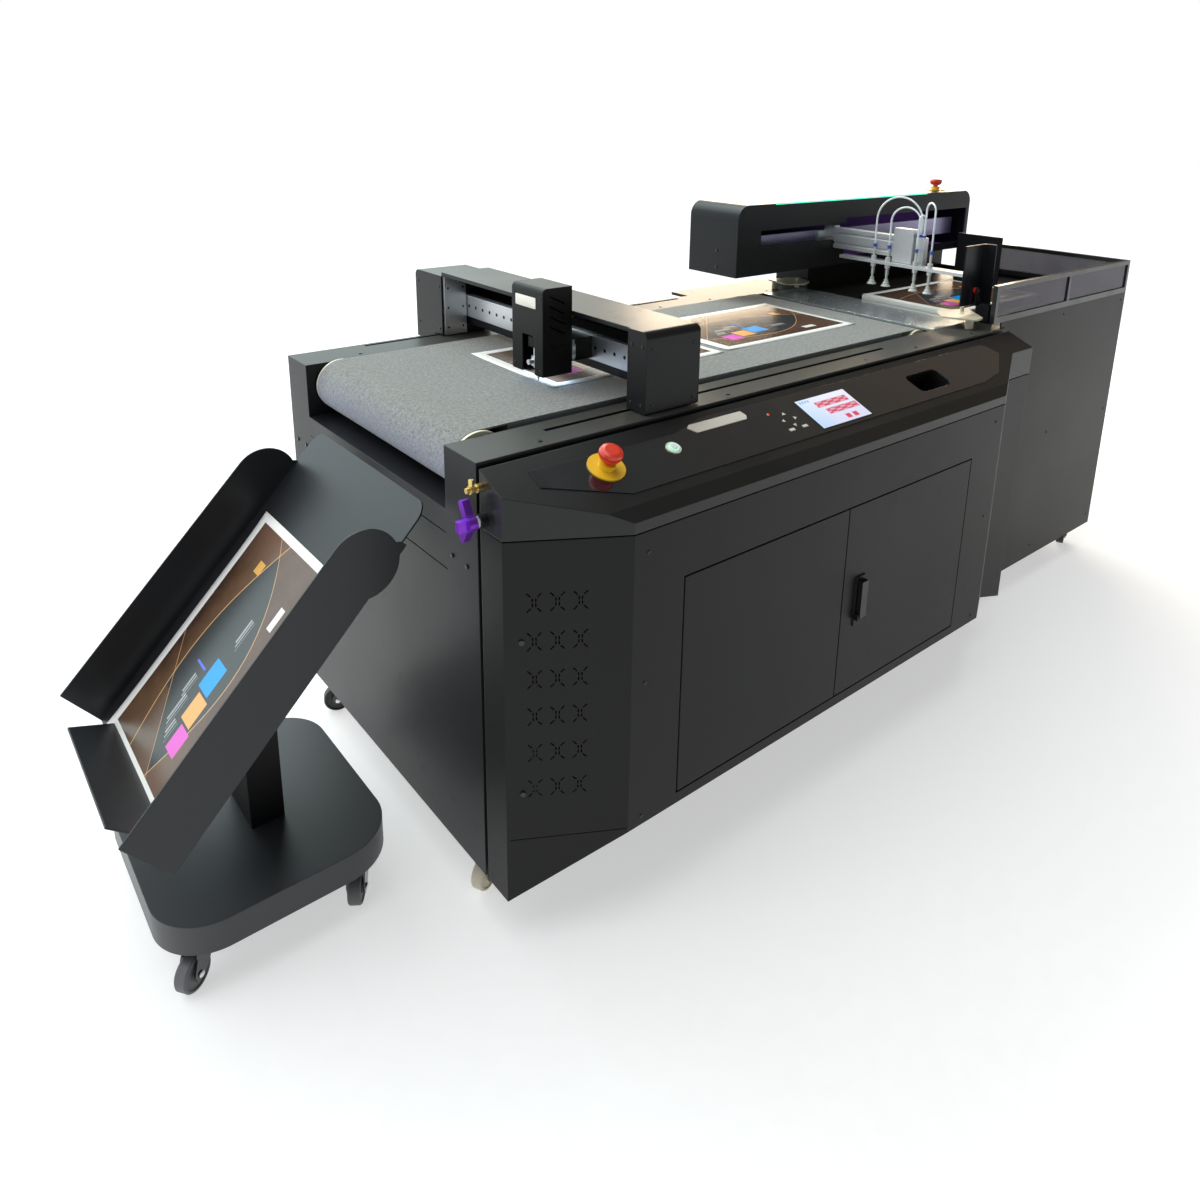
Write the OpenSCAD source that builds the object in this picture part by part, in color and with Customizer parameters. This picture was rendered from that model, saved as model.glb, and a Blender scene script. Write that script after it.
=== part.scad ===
// Flatbed digital cutter with an automatic sheet feeder and a wheeled catch tray.
// Measured from the floor up; X runs along the belt from its exit end to the feeder,
// Y runs from the operator's side to the back.

/* [Cutter] */
// Length of the cutter, from its exit end to the feeder
cutter_l = 1551; // [1400:1:1700]
// Width of the cutter across the belt, outside to outside
cutter_w = 767; // [700:1:860]
// Height of the side rails above the floor
rail_h = 840; // [800:1:900]
// Width of each side rail
rail_w = 98; // [90:1:110]
// Thickness of the cabinets' sheet metal
sheet_t = 3; // [2:0.5:4]
// Height of the end panel under the belt's exit
end_panel_h = 730; // [700:1:740]

/* [Belt] */
// Radius of the belt round its end rollers, outside the felt
belt_r = 53; // [45:1:56]
// Thickness of the felt belt
belt_t = 3; // [2:0.5:4]
// Gap between the rollers' end rings and the side rails
belt_side_gap = 7; // [5:1:12]
// Place of the exit roller's axle along the cutter
exit_roller_x = 69; // [66:1:90]
// Place of the feed roller's axle along the cutter
feed_roller_x = 1319; // [1250:1:1330]

/* [Front cabinet and console] */
// How far the front stands out from the side rail
front_d = 171; // [150:1:190]
// How far the front's exit corner stands out from the side rail
corner_d = 70; // [60:1:90]
// Length of the slanted facet at the exit end
facet_l = 171; // [150:1:200]
// Place where the long front face ends
front_end_x = 1259; // [1200:1:1300]
// Height of the long front face's lower edge
front_low_h = 198; // [180:1:205]
// Height of the joint between the front cabinet and the console
console_low_h = 738; // [720:1:740]
// Height of the console's back edge
console_top_h = 833; // [820:1:838]
// Slope of the console's top, in degrees
console_tilt = 22.8; // [15:0.1:25]
// Width of the screen unit
screen_w = 153; // [120:1:170]
// Height of the screen unit along the slope
screen_h = 85; // [70:1:95]
// Radius of the yellow ring round each stop button
stop_ring_r = 32; // [25:1:36]
// Left edge of the door opening
door_x = 278; // [260:1:320]
// Width of the door opening
door_w = 865; // [700:1:900]
// Height of the door opening's lower edge
door_low_h = 219; // [210:1:260]
// Height of the door opening
door_h = 415; // [300:1:440]

/* [Gantry] */
// Place of the gantry along the cutter
gantry_x = 347; // [340:1:500]
// Depth of the gantry along the cutter
gantry_d = 128; // [120:1:140]
// Height of the gantry's top above the side rails
gantry_h = 147; // [135:1:170]
// Place of the cutting head across the belt
head_y = 232; // [130:1:380]
// Width of the cutting head across the belt
head_w = 102; // [90:1:120]
// Depth of the cutting head along the cutter
head_d = 67; // [60:1:80]
// Height of the cutting head
head_h = 168; // [155:1:180]

/* [Feeder] */
// Length of the feeder cabinet
feeder_l = 739; // [700:1:800]
// Height of the feeder cabinet above the floor
feeder_h = 851; // [845:1:860]
// Height of the smoked guards above the feeder cabinet
guard_h = 98; // [80:1:120]
// Length of one media sheet
media_l = 457; // [420:1:480]
// Width of one media sheet
media_w = 305; // [280:1:320]
// Height of the stack of sheets
stack_h = 29; // [10:1:60]
// Length of the rear housing
housing_l = 1163; // [1100:1:1200]
// Depth of the rear housing
housing_d = 187; // [170:1:200]
// Height of the rear housing
housing_h = 197; // [190:1:220]
// Distance from the feeder's start to the pick arm
arm_in = 29; // [7:1:47]

/* [Catch tray] */
// Length of the tray down its slope
tray_l = 640; // [560:1:680]
// Width of the tray
tray_w = 450; // [420:1:480]
// Height of the tray's side walls
tray_wall_h = 92; // [70:1:110]
// Slope of the tray, in degrees
tray_tilt = 46.6; // [40:0.1:50]
// Height of the tray's upper edge above the floor
tray_top_h = 726; // [700:1:728]
// Length of the trolley's base
base_l = 379; // [340:1:400]
// Width of the trolley's base
base_w = 440; // [400:1:470]
// Thickness of the trolley's base
base_h = 53; // [40:1:60]

/* [Casters] */
// Radius of a caster's wheel
wheel_r = 30; // [26:1:32]
// Width of a caster's wheel
wheel_w = 22; // [18:1:26]
// Distance from a caster's kingpin to its axle
caster_trail = 20; // [14:1:24]
// Height of a caster above its wheel, up to the cabinet
caster_head = 25; // [25:1:40]

/* [Hidden] */
$fn = 64;

// Clearances
running = 0.05;      // radius, a pin or shaft turning in its bore
slide_gap = 0.3;     // between faces that slide past each other
door_gap = 3;        // round the doors
seam = 2;            // between neighbouring covers
eps = 0.5;           // how far a cutter reaches past a face

// Overall box and the origin under its middle
trolley_gap = 91;                                  // trolley base to cutter
left_end = -trolley_gap - base_l;
tray_top_x = -12;                                  // the tray's upper edge, beside the cutter
tray_end_lean = 13;                                // how far its end wall leans out, in degrees
tray_end_h = 84;
tray_end_in = 18;
tray_end_x = tray_top_x - (tray_l - tray_end_in + tray_end_h * sin(tray_end_lean)) * cos(tray_tilt)
    - tray_end_h * cos(tray_end_lean) * sin(tray_tilt);
floor_gap = 2 * wheel_r + caster_head;               // the casters fill it
handle_out = 14;                                   // how far the door handle stands out
feeder_x = cutter_l + seam;
arm_x = feeder_x + arm_in;
housing_x = feeder_x + feeder_l + 40 - housing_l;  // the housing overhangs the feeder
right_end = housing_x + housing_l;
far_box_d = 124;                                   // depth of the gantry's motor box
far_box_y = cutter_w - 34;
mid_x = (min(left_end, tray_end_x) + right_end) / 2;
mid_y = (far_box_y + far_box_d - front_d - handle_out) / 2;
module place() translate([-mid_x, -mid_y, 0]) children();

// Belt run
belt_y0 = rail_w + belt_side_gap;
belt_y1 = cutter_w - rail_w - belt_side_gap;
ring_w = 7;                                        // cream ring at each roller end
belt_top = rail_h + 6;
roller_z = belt_top - belt_r;
roller_r = belt_r - belt_t - slide_gap;
shaft_r = 12;
table_t = 22;

// Console
console_back = -9;                                 // the console's back edge
chamfer_d = 21;                                    // bevel along the front's top
function console_z(y) = console_top_h + (y - console_back) * tan(console_tilt);
function slope_y(y) = (y - console_back) / cos(console_tilt);
module on_console(x, y, lift = 0)
    translate([x, y, console_z(y)]) rotate([console_tilt, 0, 0])
        translate([0, 0, lift]) children();
// A flat piece whose points are given in plan, laid on the console's slope
module console_plate(points, lift, thick)
    on_console(0, console_back, lift)
        linear_extrude(thick) polygon([for (p = points) [p[0], slope_y(p[1])]]);
tip_d = 76;                                        // the front's depth at the feeder end
tip_x = front_end_x + 194;
front_plan = [
    [0, console_back], [0, -corner_d], [facet_l, -front_d], [front_end_x, -front_d],
    [tip_x, -tip_d], [cutter_l, -tip_d], [cutter_l, console_back]
];
function unit(v) = v / norm(v);
function left_of(a, b) = let (d = unit(b - a)) [-d[1], d[0]];
// The outline moved inwards by t, with mitred corners
function inset(p, t) = [
    for (i = [0 : len(p) - 1])
        let (a = p[(i + len(p) - 1) % len(p)], b = p[i], c = p[(i + 1) % len(p)],
             m = left_of(a, b), n = left_of(b, c))
            b + t * (m + n) / (1 + m * n)
];
facet_angle = atan2(corner_d - front_d, facet_l);
module prism_x(points, x0, x1)
    translate([x0, 0, 0]) rotate([90, 0, 90]) linear_extrude(x1 - x0) polygon(points);
module prism_y(points, y0, y1)
    translate([0, y1, 0]) rotate([90, 0, 0]) linear_extrude(y1 - y0) polygon(points);
module box(a, b) translate(a) cube(b - a);
module rod_x(x0, x1, y, z, r) translate([x0, y, z]) rotate([0, 90, 0]) cylinder(r = r, h = x1 - x0);
module rod_y(y0, y1, x, z, r) translate([x, y1, z]) rotate([90, 0, 0]) cylinder(r = r, h = y1 - y0);
module rod_z(z0, z1, x, y, r) translate([x, y, z0]) cylinder(r = r, h = z1 - z0);
// A rectangle with round corners, from its lower left corner
module round_rect(w, h, r) {
    translate([r, 0]) square([w - 2 * r, h]);
    translate([0, r]) square([w, h - 2 * r]);
    for (x = [r, w - r], y = [r, h - r]) translate([x, y]) circle(r = r);
}

// Console furniture
stop_x = 194;
stop_y = -70;
stop_stem_r = 8;
stop_hole_r = stop_stem_r + running;
power_x = 338;
power_y = -70;
power_r = 10;
screen_x = 672;
screen_y = -45;
cup_x = 1020;
cup_y = -109;
cup_w = 115;
cup_l = 56;
cup_deep = 55;
cup_corner = 15;
inlay_t = 1.5;
key_x = 622;
key_y = -80;

// Doors
door_mid = door_x + door_w / 2;
hinge_in = 7.5;                                    // hinge axis from the opening's edge
hinge_y = -front_d + 5.5;
hinge_pin_r = 2;
hinge_pin_l = 8;
lug_w = 12;
handle_x = door_mid + 40;
handle_w = 28;
handle_z = 367;
handle_h = 108;
handle_axis_z = handle_z + 22;
handle_axis_y = -front_d - 7;

// Gantry
slot_x0 = 165;
slot_x1 = 1107;
near_web_y = 57;
web_t = 4;
slot_w = 10;
far_web_y = cutter_w - 17;
gantry_top = rail_h + gantry_h + 2;
gantry_low = rail_h + 2;
near_box_y = 14;
near_box_w = 51;
beam_y0 = near_box_y + near_box_w;
rail_top = 803;                                    // top of the rails in the side rails
block_l = 78;
web_l = 118;
beam_low = rail_h + 22;
beam_in = 64;                                      // beam face behind the gantry's front
gantry_round = 14;
head_round = 10;
// A rectangle from side a to side b whose top corner at b has radius r
function round_corner(a, b, low, top, r) = [
    [a, low], [b, low], for (t = [0 : 7.5 : 90])
        [b + (a < b ? -r : r) * (1 - cos(t)), top - r + r * sin(t)], [a, top]
];
head_low = rail_h + 29;
head_x = gantry_x - head_d + 2;
tool_y = head_y + 40;
tool_x = head_x + 18;
tool_r = 10;
head_rail_z0 = rail_h + 41;
head_rail_z1 = rail_h + 92;

// Feeder
feeder_y = 15;
feeder_w = cutter_w + 10 - feeder_y;
deck_z = rail_h - 2;
stack_x = feeder_x + 12;
stack_y = 150;
stack_top = rail_h + 10;
bin_x1 = stack_x + media_l + 30;
bin_y0 = stack_y - 22;
bin_y1 = stack_y + media_w + 22;
table_low = stack_top - stack_h - 6;
housing_y = cutter_w - 177;
housing_low = feeder_h + 65;
housing_top = housing_low + housing_h;
housing_corner = 40;
column_y = housing_y + 60;                          // front of the column under the housing
slot_low = housing_low + 79;
slot_high = housing_low + 124;
pick_slot_x = housing_x + 94;
window_x = feeder_x + 87;
window_low = housing_low + 24;
window_high = housing_low + 139;
pick_rail_y = housing_y + 50;
pick_rail_z = housing_low + 46;
pick_rail_h = 56;
arm_w = 30;
arm_low = housing_low + 55;
arm_h = 60;
arm_near = 377;
arm_far = housing_y - 3;
lift_near = 315;
lift_low = arm_low - 13;
lift_high = arm_low + 82;
lift_rod_r = 5;
lift_rod_pitch = 30;
lift_rod_x = arm_x + 11;
lift_mid_y = (lift_near + arm_near) / 2;
bar_near = 138;
bar_far = housing_y - 40;
bar_t = 9;
bar_top = lift_low - 2;
cup_low = stack_top + 35;
cup_line_x = arm_x - 5;                            // the cups' stems pass beside the arm
cup_ys = [251, 297, 387, 435];
cup_stem_r = 3.2;
guide_rod_r = 10;
guide_rod_xs = [stack_x + 120, stack_x + 320];
guide_rod_y = bin_y1 + 30;
post_r = 6;

// Catch tray and trolley
tray_y = 362 - tray_w / 2;
trolley_y = 350;
post_x = -262;
post_w = 57;
post_l = 117;
base_corner = 95;
module in_tray() translate([tray_top_x, 0, tray_top_h]) rotate([0, -tray_tilt, 0]) children();
tray_under = 12;                                   // gap between the post's top and the tray

// Casters
kingpin_r = 6;
axle_r = 4;
plate_t = 6;
fork_gap = 2;
neck_top = floor_gap - plate_t - slide_gap;
caster_in = 57;
machine_casters = [
    [50, 66], [50, cutter_w - 66],
    [feeder_x + feeder_l - 60, feeder_y + 55], [feeder_x + feeder_l - 60, cutter_w - 66]
];
tray_casters = [
    [left_end + caster_in, trolley_y - base_w / 2 + caster_in],
    [left_end + caster_in, trolley_y + base_w / 2 - caster_in],
    [-trolley_gap - caster_in, trolley_y - base_w / 2 + caster_in],
    [-trolley_gap - caster_in, trolley_y + base_w / 2 - caster_in]
];

// A caster's fixed plate with the kingpin's bore
module caster_plate(at, up = 0)
    translate([at[0], at[1], floor_gap - plate_t]) difference() {
        cylinder(r = 28, h = plate_t + up);
        translate([0, 0, -eps]) cylinder(r = kingpin_r + running, h = plate_t + eps + slide_gap);
    }

// One side rail seen along X: a wall, a top with the gantry's slot, a short inner wall
module side_rail(outer_y, inner_y, web_y) {
    out = min(outer_y, inner_y);
    toward = outer_y < inner_y ? 1 : -1;
    box([0, outer_y < inner_y ? outer_y : outer_y - sheet_t, floor_gap],
        [cutter_l, outer_y < inner_y ? outer_y + sheet_t : outer_y, rail_h]);
    difference() {
        box([0, out, rail_h - sheet_t], [cutter_l, out + rail_w, rail_h]);
        box([slot_x0, web_y - slot_w / 2 + web_t / 2, rail_h - sheet_t - eps],
            [slot_x1, web_y + slot_w / 2 + web_t / 2, rail_h + eps]);
    }
    difference() {
        box([0, inner_y - (toward + 1) / 2 * sheet_t, end_panel_h],
            [cutter_l, inner_y + (1 - toward) / 2 * sheet_t, rail_h]);
        for (x = [exit_roller_x, feed_roller_x])
            rod_y(out - eps, out + rail_w + eps, x, roller_z, shaft_r + running);
    }
    // shelf under the gantry's linear rail
    box([slot_x0 - 45, out, rail_top - 16], [slot_x1 + 45, out + rail_w, rail_top - 13]);
    // end post
    box([0, out, floor_gap], [sheet_t, out + rail_w, rail_h]);
}

module machine_frame() color("#1c1d1f") place() {
    // near rail; its wall stops above the front cabinet's opening
    difference() {
        side_rail(0, rail_w, near_web_y);
        box([120, -eps, floor_gap + 30], [cutter_l - 60, sheet_t + eps, console_low_h - 60]);
    }
    side_rail(cutter_w, cutter_w - rail_w, far_web_y);
    // cabinet floor, end panels and the deck under the belt
    box([0, 0, floor_gap], [cutter_l, cutter_w, floor_gap + sheet_t]);
    difference() {
        box([0, 0, floor_gap], [sheet_t, cutter_w, end_panel_h]);
        for (z = [end_panel_h - 107, end_panel_h - 42])
            box([-eps, rail_w, z], [1, cutter_w - rail_w, z + 2]);
    }
    box([cutter_l - sheet_t, 0, floor_gap], [cutter_l, cutter_w, rail_h - 30]);
    box([0, 0, end_panel_h - sheet_t], [cutter_l, cutter_w, end_panel_h]);
    // brackets that carry the vacuum table
    for (x = [200, 700, 1180])
        box([x, rail_w, belt_top - belt_t - table_t - 20],
            [x + 30, cutter_w - rail_w, belt_top - belt_t - table_t]);
    // shelf behind the far rail
    box([slot_x1 + 53, cutter_w, rail_h - 8], [cutter_l, housing_y + housing_d + 60, rail_h]);
    for (i = [0, 1]) caster_plate(machine_casters[i]);
}

vent_pitch_u = 35.5;
vent_pitch_z = 66.3;
vent_u = 46.5;
vent_z = 303.5;
// One vent cluster: four short upright slots and four slanted ones
module vent_cluster() {
    for (sx = [-1, 1], sy = [-1, 1]) {
        translate([sx * 2.6 - 1, sy * 4.2 - 3]) square([2, 6]);
        translate([sx * 8, sy * 12.5]) rotate(sx * sy * 45) translate([-4.2, -1]) square([8.4, 2]);
    }
}

module front_shell() color("#1a1b1c") place() difference() {
    union() {
        translate([0, 0, floor_gap]) linear_extrude(console_low_h - seam - floor_gap) difference() {
            polygon(front_plan);
            polygon(inset(front_plan, sheet_t));
        }
        // bottom closing plate
        translate([0, 0, front_low_h]) linear_extrude(sheet_t) polygon(inset([
            [facet_l, console_back], [facet_l, -front_d], [front_end_x, -front_d],
            [front_end_x, console_back]], 1));
        // hinge lugs above and below the doors
        for (x = [door_x + hinge_in, door_x + door_w - hinge_in],
             z = [door_low_h - hinge_pin_l - 4, door_low_h + door_h])
            box([x - lug_w / 2, -front_d + 1, z], [x + lug_w / 2, -front_d + 13, z + hinge_pin_l + 4]);
    }
    // everything under the lower edge
    prism_y([[-eps, -eps], [-eps, floor_gap - eps], [0, floor_gap], [facet_l, front_low_h],
             [front_end_x, front_low_h], [cutter_l, floor_gap + 28], [cutter_l + eps, -eps]],
            -front_d - eps, 0);
    // open back
    box([20, console_back - sheet_t - eps, floor_gap - eps], [cutter_l - 20, 0, console_low_h]);
    box([door_x, -front_d - eps, door_low_h], [door_x + door_w, -front_d + 15, door_low_h + door_h]);
    for (x = [door_x + hinge_in, door_x + door_w - hinge_in])
        rod_z(door_low_h - hinge_pin_l, door_low_h + door_h + hinge_pin_l, x, hinge_y,
              hinge_pin_r + running);
    // vents and the fold line on the slanted facet
    translate([0, -corner_d, 0]) rotate([0, 0, facet_angle]) {
        translate([0, eps + sheet_t, 0]) rotate([90, 0, 0]) linear_extrude(sheet_t + 2 * eps)
            for (i = [0 : 2], j = [0 : 5])
                translate([vent_u + i * vent_pitch_u, vent_z + j * vent_pitch_z]) vent_cluster();
        box([6, -eps, front_low_h + 8], [facet_l * 1.15, 0.8, front_low_h + 10]);
    }
}

module console_body(t, low) intersection() {
    translate([0, 0, low]) linear_extrude(rail_h) polygon(t > 0 ? inset(front_plan, t) : front_plan);
    prism_x([[-front_d, low], [-front_d, console_z(-front_d + chamfer_d) - 17 - t],
             [-front_d + chamfer_d, console_z(-front_d + chamfer_d) - t],
             [console_back, console_top_h - t * 1.1], [console_back, low]], -1, cutter_l + 1);
}

module console_shell() color("#232426") place() {
    difference() {
        console_body(0, console_low_h);
        console_body(sheet_t, console_low_h - 1);
        on_console(stop_x, stop_y, -20) cylinder(r = stop_hole_r + 0.4, h = 40);
        on_console(power_x, power_y, -20) cylinder(r = power_r + running, h = 40);
        on_console(cup_x, cup_y, -20) linear_extrude(40) round_rect(cup_w, cup_l, cup_corner);
    }
    // moulded recess
    on_console(cup_x, cup_y, -cup_deep) difference() {
        linear_extrude(cup_deep) translate([-2, -2]) round_rect(cup_w + 4, cup_l + 4, cup_corner + 2);
        translate([0, 0, 2]) linear_extrude(cup_deep) round_rect(cup_w, cup_l, cup_corner);
    }
}

inlay_plan = [
    [68, -38], [68, -72], [202, -130], [1235, -130], [1317, -117], [1404, -66],
    [1391, -35], [1376, -27], [440, -24], [365, -42]
];
module console_inlay() color("#0c0d10") place() difference() {
    console_plate(inlay_plan, 0, inlay_t);
    on_console(stop_x, stop_y, -1) cylinder(r = stop_hole_r + 0.4, h = 5);
    on_console(power_x, power_y, -1) cylinder(r = power_r + 4, h = 5);
    on_console(cup_x, cup_y, -1) linear_extrude(5) round_rect(cup_w, cup_l, cup_corner);
    on_console(screen_x, screen_y, -1) translate([0, -screen_h, 0]) cube([screen_w, screen_h, 5]);
}

module display() color("#a7b4cc") place()
    on_console(screen_x, screen_y) translate([0.2, 0.2 - screen_h, 0])
        cube([screen_w - 0.4, screen_h - 0.4, 2.5]);

module console_trim() color("#c9c2b4") place() {
    // blank name plate
    on_console(398, -33, inlay_t) linear_extrude(1.5)
        polygon([[0, -6], [12, -22], [136, -22], [142, -14], [138, 0], [8, 0]]);
    // jog keys round a circle, two keys below them and an indicator
    for (a = [0 : 90 : 270])
        on_console(key_x, key_y, inlay_t) rotate(a) translate([16, 0]) cylinder(r = 4.5, h = 1.2, $fn = 3);
    for (dx = [-24, 12])
        on_console(key_x + dx, key_y - 26, inlay_t) cube([13, 6, 1.2]);
    on_console(key_x - 34, key_y + 23, inlay_t) cylinder(r = 2.5, h = 1);
    // bezel of the power button
    on_console(power_x, power_y) difference() {
        cylinder(r = power_r + 4, h = 3.5);
        translate([0, 0, -1]) cylinder(r = power_r + running, h = 6);
    }
}

module stop_ring() difference() {
    union() {
        cylinder(r = stop_ring_r, h = 2.5);
        cylinder(r = 14, h = 12);
    }
    translate([0, 0, -1]) cylinder(r = stop_hole_r, h = 20);
}
rear_stop_x = right_end - 120;
rear_stop_y = housing_y + 66;
module stop_rings() color("#e0a81c") place() {
    on_console(stop_x, stop_y, inlay_t) stop_ring();
    translate([rear_stop_x, rear_stop_y, housing_top]) stop_ring();
}
module stop_button() rotate_extrude() polygon([
    [0, -18], [stop_stem_r, -18], [stop_stem_r, 18], [13, 18], [17, 21], [20, 27], [20, 32],
    [18, 36], [12, 38], [0, 38]
]);
module front_stop_button() color("#d8301f") place() on_console(stop_x, stop_y, inlay_t) stop_button();
module rear_stop_button() color("#d8301f") place()
    translate([rear_stop_x, rear_stop_y, housing_top]) stop_button();
module power_button() color("#7fd8a4") place() on_console(power_x, power_y, 0)
    translate([0, 0, -10]) cylinder(r = power_r, h = 15.5);

// Purple valve and brass fittings in the gap between rail and console
valve_x = -4;
valve_y = -24;
valve_z = 757;
module air_fittings() color("#b8923a") place() difference() {
    union() {
        rod_x(valve_x - 8, 0, valve_y, valve_z, 11);
        rod_x(-26, 0, -14, 806, 4.5);
        rod_x(-20, -14, -14, 806, 7);
        rod_x(-8, 0, -14, 806, 7);
        rod_z(806, 822, -17, -14, 4);
    }
    rod_x(-40, eps, valve_y, valve_z, 5 + running);
}
module valve_lever() color("#5a2aa0") place() {
    rod_x(-30, -slide_gap, valve_y, valve_z, 5);
    rod_x(-32, -18, valve_y, valve_z, 12);
    for (a = [30, 150])
        translate([-32, valve_y, valve_z]) rotate([0, 90, 0]) rotate(a) linear_extrude(12)
            translate([8, -7]) round_rect(30, 14, 5);
    box([-48, valve_y - 5, valve_z - 9], [-32, valve_y + 5, valve_z + 9]);
}

module vacuum_table() color("#8e9296") place() difference() {
    box([exit_roller_x + belt_r + 6, belt_y0 + ring_w, belt_top - belt_t - table_t],
        [feed_roller_x - belt_r - 6, belt_y1 - ring_w, belt_top - belt_t]);
    for (i = [0 : 9], j = [0 : 4])
        rod_z(rail_h - 40, rail_h + 10, exit_roller_x + 110 + i * 115,
              belt_y0 + 60 + j * (belt_y1 - belt_y0 - 120) / 4, 5);
}

module loop_outline(r) {
    for (x = [exit_roller_x, feed_roller_x]) translate([x, roller_z]) circle(r = r, $fn = 96);
    translate([exit_roller_x, roller_z - r]) square([feed_roller_x - exit_roller_x, 2 * r]);
}
module felt_belt() color("#8b8d90") place()
    translate([0, belt_y1 - ring_w, 0]) rotate([90, 0, 0])
        linear_extrude(belt_y1 - belt_y0 - 2 * ring_w) difference() {
            loop_outline(belt_r);
            loop_outline(belt_r - belt_t);
        }
module roller(x) {
    rod_y(belt_y0 + ring_w + slide_gap, belt_y1 - ring_w - slide_gap, x, roller_z, roller_r);
    rod_y(belt_y0, belt_y0 + ring_w - slide_gap, x, roller_z, belt_r - 1);
    rod_y(belt_y1 - ring_w + slide_gap, belt_y1, x, roller_z, belt_r - 1);
    rod_y(rail_w - 20, cutter_w - rail_w + 20, x, roller_z, shaft_r);
}
module exit_roller() color("#e9e2c9") place() roller(exit_roller_x);
module feed_roller() color("#e9e2c9") place() roller(feed_roller_x);

module linear_rails() color("#8d8aa6") place() {
    for (y = [near_web_y, far_web_y])
        box([slot_x0 - 40, y - 4, rail_top - 13], [slot_x1 + 40, y + 8, rail_top]);
    box([housing_x + 40, pick_rail_y, pick_rail_z], [right_end - 20, pick_rail_y + 15,
        pick_rail_z + pick_rail_h]);
    for (x = guide_rod_xs)
        rod_z(floor_gap + sheet_t, deck_z - sheet_t, x, guide_rod_y, guide_rod_r);
}

module feeder_cabinet() color("#1e1f21") place() {
    x1 = feeder_x + feeder_l;
    y1 = feeder_y + feeder_w;
    difference() {
        box([feeder_x, feeder_y, floor_gap], [x1, y1, feeder_h]);
        box([feeder_x + sheet_t, feeder_y + sheet_t, floor_gap + sheet_t],
            [x1 - sheet_t, y1 - sheet_t, feeder_h + 1]);
        // the exit side is low, so sheets pass onto the belt
        box([feeder_x - 1, feeder_y + sheet_t, deck_z - sheet_t],
            [feeder_x + sheet_t + 1, y1 - sheet_t, feeder_h + 1]);
    }
    // deck round the bin
    difference() {
        box([feeder_x, feeder_y + sheet_t, deck_z - sheet_t], [x1 - sheet_t, y1 - sheet_t, deck_z]);
        box([stack_x - 4, bin_y0, deck_z - 10], [bin_x1, bin_y1, deck_z + 10]);
    }
    // column that carries the rear housing
    difference() {
        box([feeder_x, column_y, deck_z], [x1, housing_y + housing_d, housing_low]);
        box([feeder_x + sheet_t, column_y + sheet_t, deck_z - 1],
            [x1 - sheet_t, housing_y + housing_d - sheet_t, housing_low + 1]);
    }
    for (i = [2, 3]) caster_plate(machine_casters[i]);
}

guard_post = 12;
guard_x0 = feeder_x - 38;
guard_x1 = feeder_x + feeder_l;
guard_y1 = housing_y;
guard_top = feeder_h + guard_h;
// Rails and posts that frame the smoked panels
module guard_rim() color("#141517") place() {
    for (z = [[feeder_h, feeder_h + 16], [guard_top - guard_post, guard_top]]) {
        box([guard_x0, feeder_y, z[0]], [guard_x1, feeder_y + guard_post, z[1]]);
        box([guard_x1 - guard_post, feeder_y, z[0]], [guard_x1, guard_y1, z[1]]);
    }
    for (x = [guard_x0, (guard_x0 + guard_x1) / 2, guard_x1 - guard_post])
        box([x, feeder_y, feeder_h], [x + guard_post, feeder_y + guard_post, guard_top]);
    box([guard_x1 - guard_post, guard_y1 - guard_post, feeder_h], [guard_x1, guard_y1, guard_top]);
}
module guard_panels() color("#4a3d58") place() {
    z0 = feeder_h + 16;
    z1 = guard_top - guard_post;
    mid = (guard_x0 + guard_x1) / 2;
    for (x = [[guard_x0 + guard_post, mid], [mid + guard_post, guard_x1 - guard_post]])
        box([x[0], feeder_y + 4, z0], [x[1], feeder_y + 8, z1]);
    box([guard_x1 - 8, feeder_y + guard_post, z0], [guard_x1 - 4, guard_y1 - guard_post, z1]);
}

// Housing outline seen from the front: a rectangle with round upper corners
module housing_outline(t) translate([housing_x + t, housing_low + t]) {
    w = housing_l - 2 * t;
    h = housing_h - 2 * t;
    r = housing_corner - t;
    square([w, h - r]);
    translate([r, 0]) square([w - 2 * r, h]);
    for (x = [r, w - r]) translate([x, h - r]) circle(r = r);
}
module rear_housing() color("#222326") place() difference() {
    translate([0, housing_y + housing_d, 0]) rotate([90, 0, 0]) linear_extrude(housing_d)
        housing_outline(0);
    translate([0, housing_y + housing_d - sheet_t, 0]) rotate([90, 0, 0])
        linear_extrude(housing_d - 2 * sheet_t) housing_outline(sheet_t);
    // slot for the pick arm, opening into the window
    box([pick_slot_x, housing_y - 1, slot_low], [window_x + 1, housing_y + sheet_t + 1, slot_high]);
    box([window_x, housing_y - 1, window_low],
        [right_end - 18, housing_y + sheet_t + 1, window_high]);
    rod_z(housing_top - 10, housing_top + 10, rear_stop_x, rear_stop_y, stop_hole_r + 0.4);
    // groove for the light strip
    box([housing_x + 148, housing_y - 1, housing_top - 3], [housing_x + 894, housing_y + 8,
        housing_top + 1]);
}
module led_strip() color("#35d8a0") place()
    box([housing_x + 148, housing_y, housing_top - 3], [housing_x + 894, housing_y + 8,
        housing_top + 1]);

module transfer_plate() color("#b9c2c4") place() difference() {
    box([feed_roller_x + belt_r + 4, rail_w + 2, rail_h - 6],
        [cutter_l - sheet_t, cutter_w - rail_w - 2, rail_h]);
    for (i = [0 : 14])
        rod_z(rail_h - 10, rail_h + 5, feed_roller_x + belt_r + 14, rail_w + 30 + i * 36, 2.5);
}

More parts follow.
